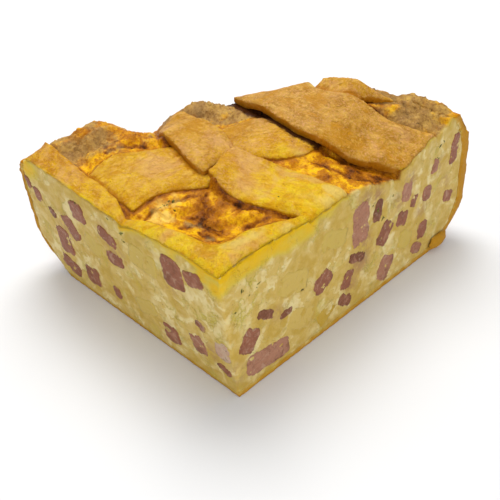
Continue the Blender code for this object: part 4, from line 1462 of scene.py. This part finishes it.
def scatter(name, places, pieces, flatness, shares, material, slot, draw):
    """One piece of many small flakes or grains: copies of one shape, turned and stretched by chance."""
    deselect()
    bpy.ops.mesh.primitive_ico_sphere_add(subdivisions=2, radius=0.5 * MM)
    model = bpy.context.object
    model.name = name + "_model"
    relief(model, "uneven flake", 0.5, 1.0 * MM)
    copies = []
    spread = []
    for place, out, size in places:
        for share in shares:
            shift = [draw.uniform(-0.45, 0.45) * size * (1.0 - abs(way)) for way in out]
            spread.append((place + Vector(shift), out, size * share))
    for place, out, size in spread:
        point, normal = surface_point(place, out, pieces)
        copy = model.copy()
        copy.data = model.data.copy()
        bpy.context.scene.collection.objects.link(copy)
        stretch = Matrix.Diagonal((size * draw.uniform(0.8, 1.4), size * draw.uniform(0.4, 0.75),
                                   size * flatness, 1.0))
        turn = normal.to_track_quat("Z", "Y").to_matrix().to_4x4() @ Matrix.Rotation(
            draw.uniform(0.0, math.tau), 4, "Z")
        copy.data.transform(Matrix.Translation(point - normal * 0.1 * MM) @ turn @ stretch)
        copies.append(copy)
    bpy.data.objects.remove(model)
    deselect()
    for copy in copies:
        copy.select_set(True)
    bpy.context.view_layer.objects.active = copies[0]
    bpy.ops.object.join()
    piece = bpy.context.object
    piece.name = name
    piece.data.name = name
    bpy.ops.object.shade_smooth()
    dress(piece, material, slot)


class PIE_OT_herbs(bpy.types.Operator):
    """Sets flecks of parsley, pepper dots and burnt specks on the block"""

    bl_idname = "pie.herbs"
    bl_label = "Herbs and specks"

    def execute(self, context):
        """Builds the flecks and dots."""
        colours = context.scene.pie_colours
        draw = random.Random(FLECK_SEED)
        names = ("egg_and", "ham_ch", "cheese_ch", "pastry", "crust")
        pieces = [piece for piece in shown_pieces() if piece.name.startswith(names)]
        flecks = [(*place_on_left(y, z), size) for y, z, size in LEFT_FLECKS]
        flecks += [(*place_on_right(x, z), size) for x, z, size in RIGHT_FLECKS]
        flecks += [(Vector((x, y, 50)), Vector((0, 0, 1)), size) for x, y, size in TOP_FLECKS]
        herb = build_speck_material("parsley", colours.herb, linear(134, 132, 62))
        scatter("parsley_flecks", flecks, pieces, 0.22, (0.85, 0.6, 0.4), herb, "filling", draw)
        dots = [(*place_on_left(y, z), 0.5) for y, z in LEFT_PEPPER]
        dots += [(*place_on_right(x, z), 0.5) for x, z in RIGHT_PEPPER]
        dots += [(Vector((x, y, 50)), Vector((0, 0, 1)), size) for x, y, size in TOP_SPECKS]
        pepper = build_speck_material("pepper", colours.pepper, linear(96, 70, 40))
        scatter("pepper_dots", dots, pieces, 0.5, (1.0,), pepper, "filling", draw)
        return {"FINISHED"}


class PIE_OT_stage(bpy.types.Operator):
    """Sets the floor, the lights and the camera"""

    bl_idname = "pie.stage"
    bl_label = "Stage"

    def execute(self, context):
        """Builds the stage."""
        settings = context.scene.pie_stage
        deselect()
        bpy.ops.mesh.primitive_plane_add(size=FLOOR_SIZE, location=(0, 0, -FLOOR_DROP))
        floor = bpy.context.object
        floor.name = "floor"
        bpy.ops.object.transform_apply(location=True)
        material, tree, shader, vector = new_material("pale_floor")
        haze = cloud(tree, vector, 3.0, 2.0)
        colour = mixed(tree, haze, settings.floor, linear(232, 231, 229))
        tree.links.new(colour, shader.inputs["Base Color"])
        shader.inputs["Roughness"].default_value = 0.6
        floor.data.materials.append(material)
        floor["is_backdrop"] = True
        world = bpy.data.worlds.new("soft_sky")
        world.use_nodes = True
        sky = world.node_tree.nodes["Background"]
        sky.inputs["Color"].default_value = rgba(settings.world)
        sky.inputs["Strength"].default_value = settings.world_strength
        context.scene.world = world
        self.add_light("key_light", *KEY_LIGHT, settings.key_power)
        self.add_light("fill_light", *FILL_LIGHT, settings.fill_power)
        camera = bpy.data.cameras.new("camera")
        camera.sensor_width = 36.0
        camera.lens = settings.focal_length
        camera.clip_start = 0.01
        viewer = bpy.data.objects.new("camera", camera)
        viewer.location = CAMERA_PLACE
        viewer.rotation_euler = [math.radians(angle) for angle in CAMERA_TURN]
        context.scene.collection.objects.link(viewer)
        context.scene.camera = viewer
        context.scene.view_settings.view_transform = "Standard"
        return {"FINISHED"}

    def add_light(self, name, place, size, power):
        """Soft square light that faces the block."""
        light = bpy.data.lights.new(name, "AREA")
        light.size = size
        light.energy = power
        lamp = bpy.data.objects.new(name, light)
        lamp.location = place
        lamp.rotation_euler = (-Vector(place)).to_track_quat("-Z", "Y").to_euler()
        bpy.context.scene.collection.objects.link(lamp)


class PIE_PT_sidebar(bpy.types.Panel):
    """Sizes, colours and steps of the block"""

    bl_idname = "PIE_PT_sidebar"
    bl_label = "Pizza Rustica Block"
    bl_space_type = "VIEW_3D"
    bl_region_type = "UI"
    bl_category = "Pie"

    def draw(self, context):
        """Lists the settings and the steps."""
        layout = self.layout
        for title, settings in (("Sizes", context.scene.pie_sizes), ("Colours", context.scene.pie_colours),
                                ("Stage", context.scene.pie_stage)):
            box = layout.box()
            box.label(text=title)
            for name in settings.__annotations__:
                box.prop(settings, name)
        for operator in STEPS:
            layout.operator(operator.bl_idname)


STEPS = (PIE_OT_groups, PIE_OT_strips, PIE_OT_filling, PIE_OT_crust, PIE_OT_ham, PIE_OT_cheese, PIE_OT_herbs,
         PIE_OT_stage)
SETTINGS = (("pie_sizes", PieSizes), ("pie_colours", PieColours), ("pie_stage", StageSettings))


def register():
    """Registers the classes and the scene's settings."""
    for name, kind in SETTINGS:
        bpy.utils.register_class(kind)
        setattr(bpy.types.Scene, name, PointerProperty(type=kind))
    for kind in (*STEPS, PIE_PT_sidebar):
        bpy.utils.register_class(kind)


def unregister():
    """Removes the classes and the scene's settings."""
    for kind in (PIE_PT_sidebar, *reversed(STEPS)):
        bpy.utils.unregister_class(kind)
    for name, kind in reversed(SETTINGS):
        delattr(bpy.types.Scene, name)
        bpy.utils.unregister_class(kind)


def main():
    """Runs every step in order."""
    register()
    bpy.ops.pie.groups()
    bpy.ops.pie.strips()
    bpy.ops.pie.filling()
    bpy.ops.pie.crust()
    bpy.ops.pie.ham()
    bpy.ops.pie.cheese()
    bpy.ops.pie.herbs()
    bpy.ops.pie.stage()


if __name__ == "__main__":
    main()
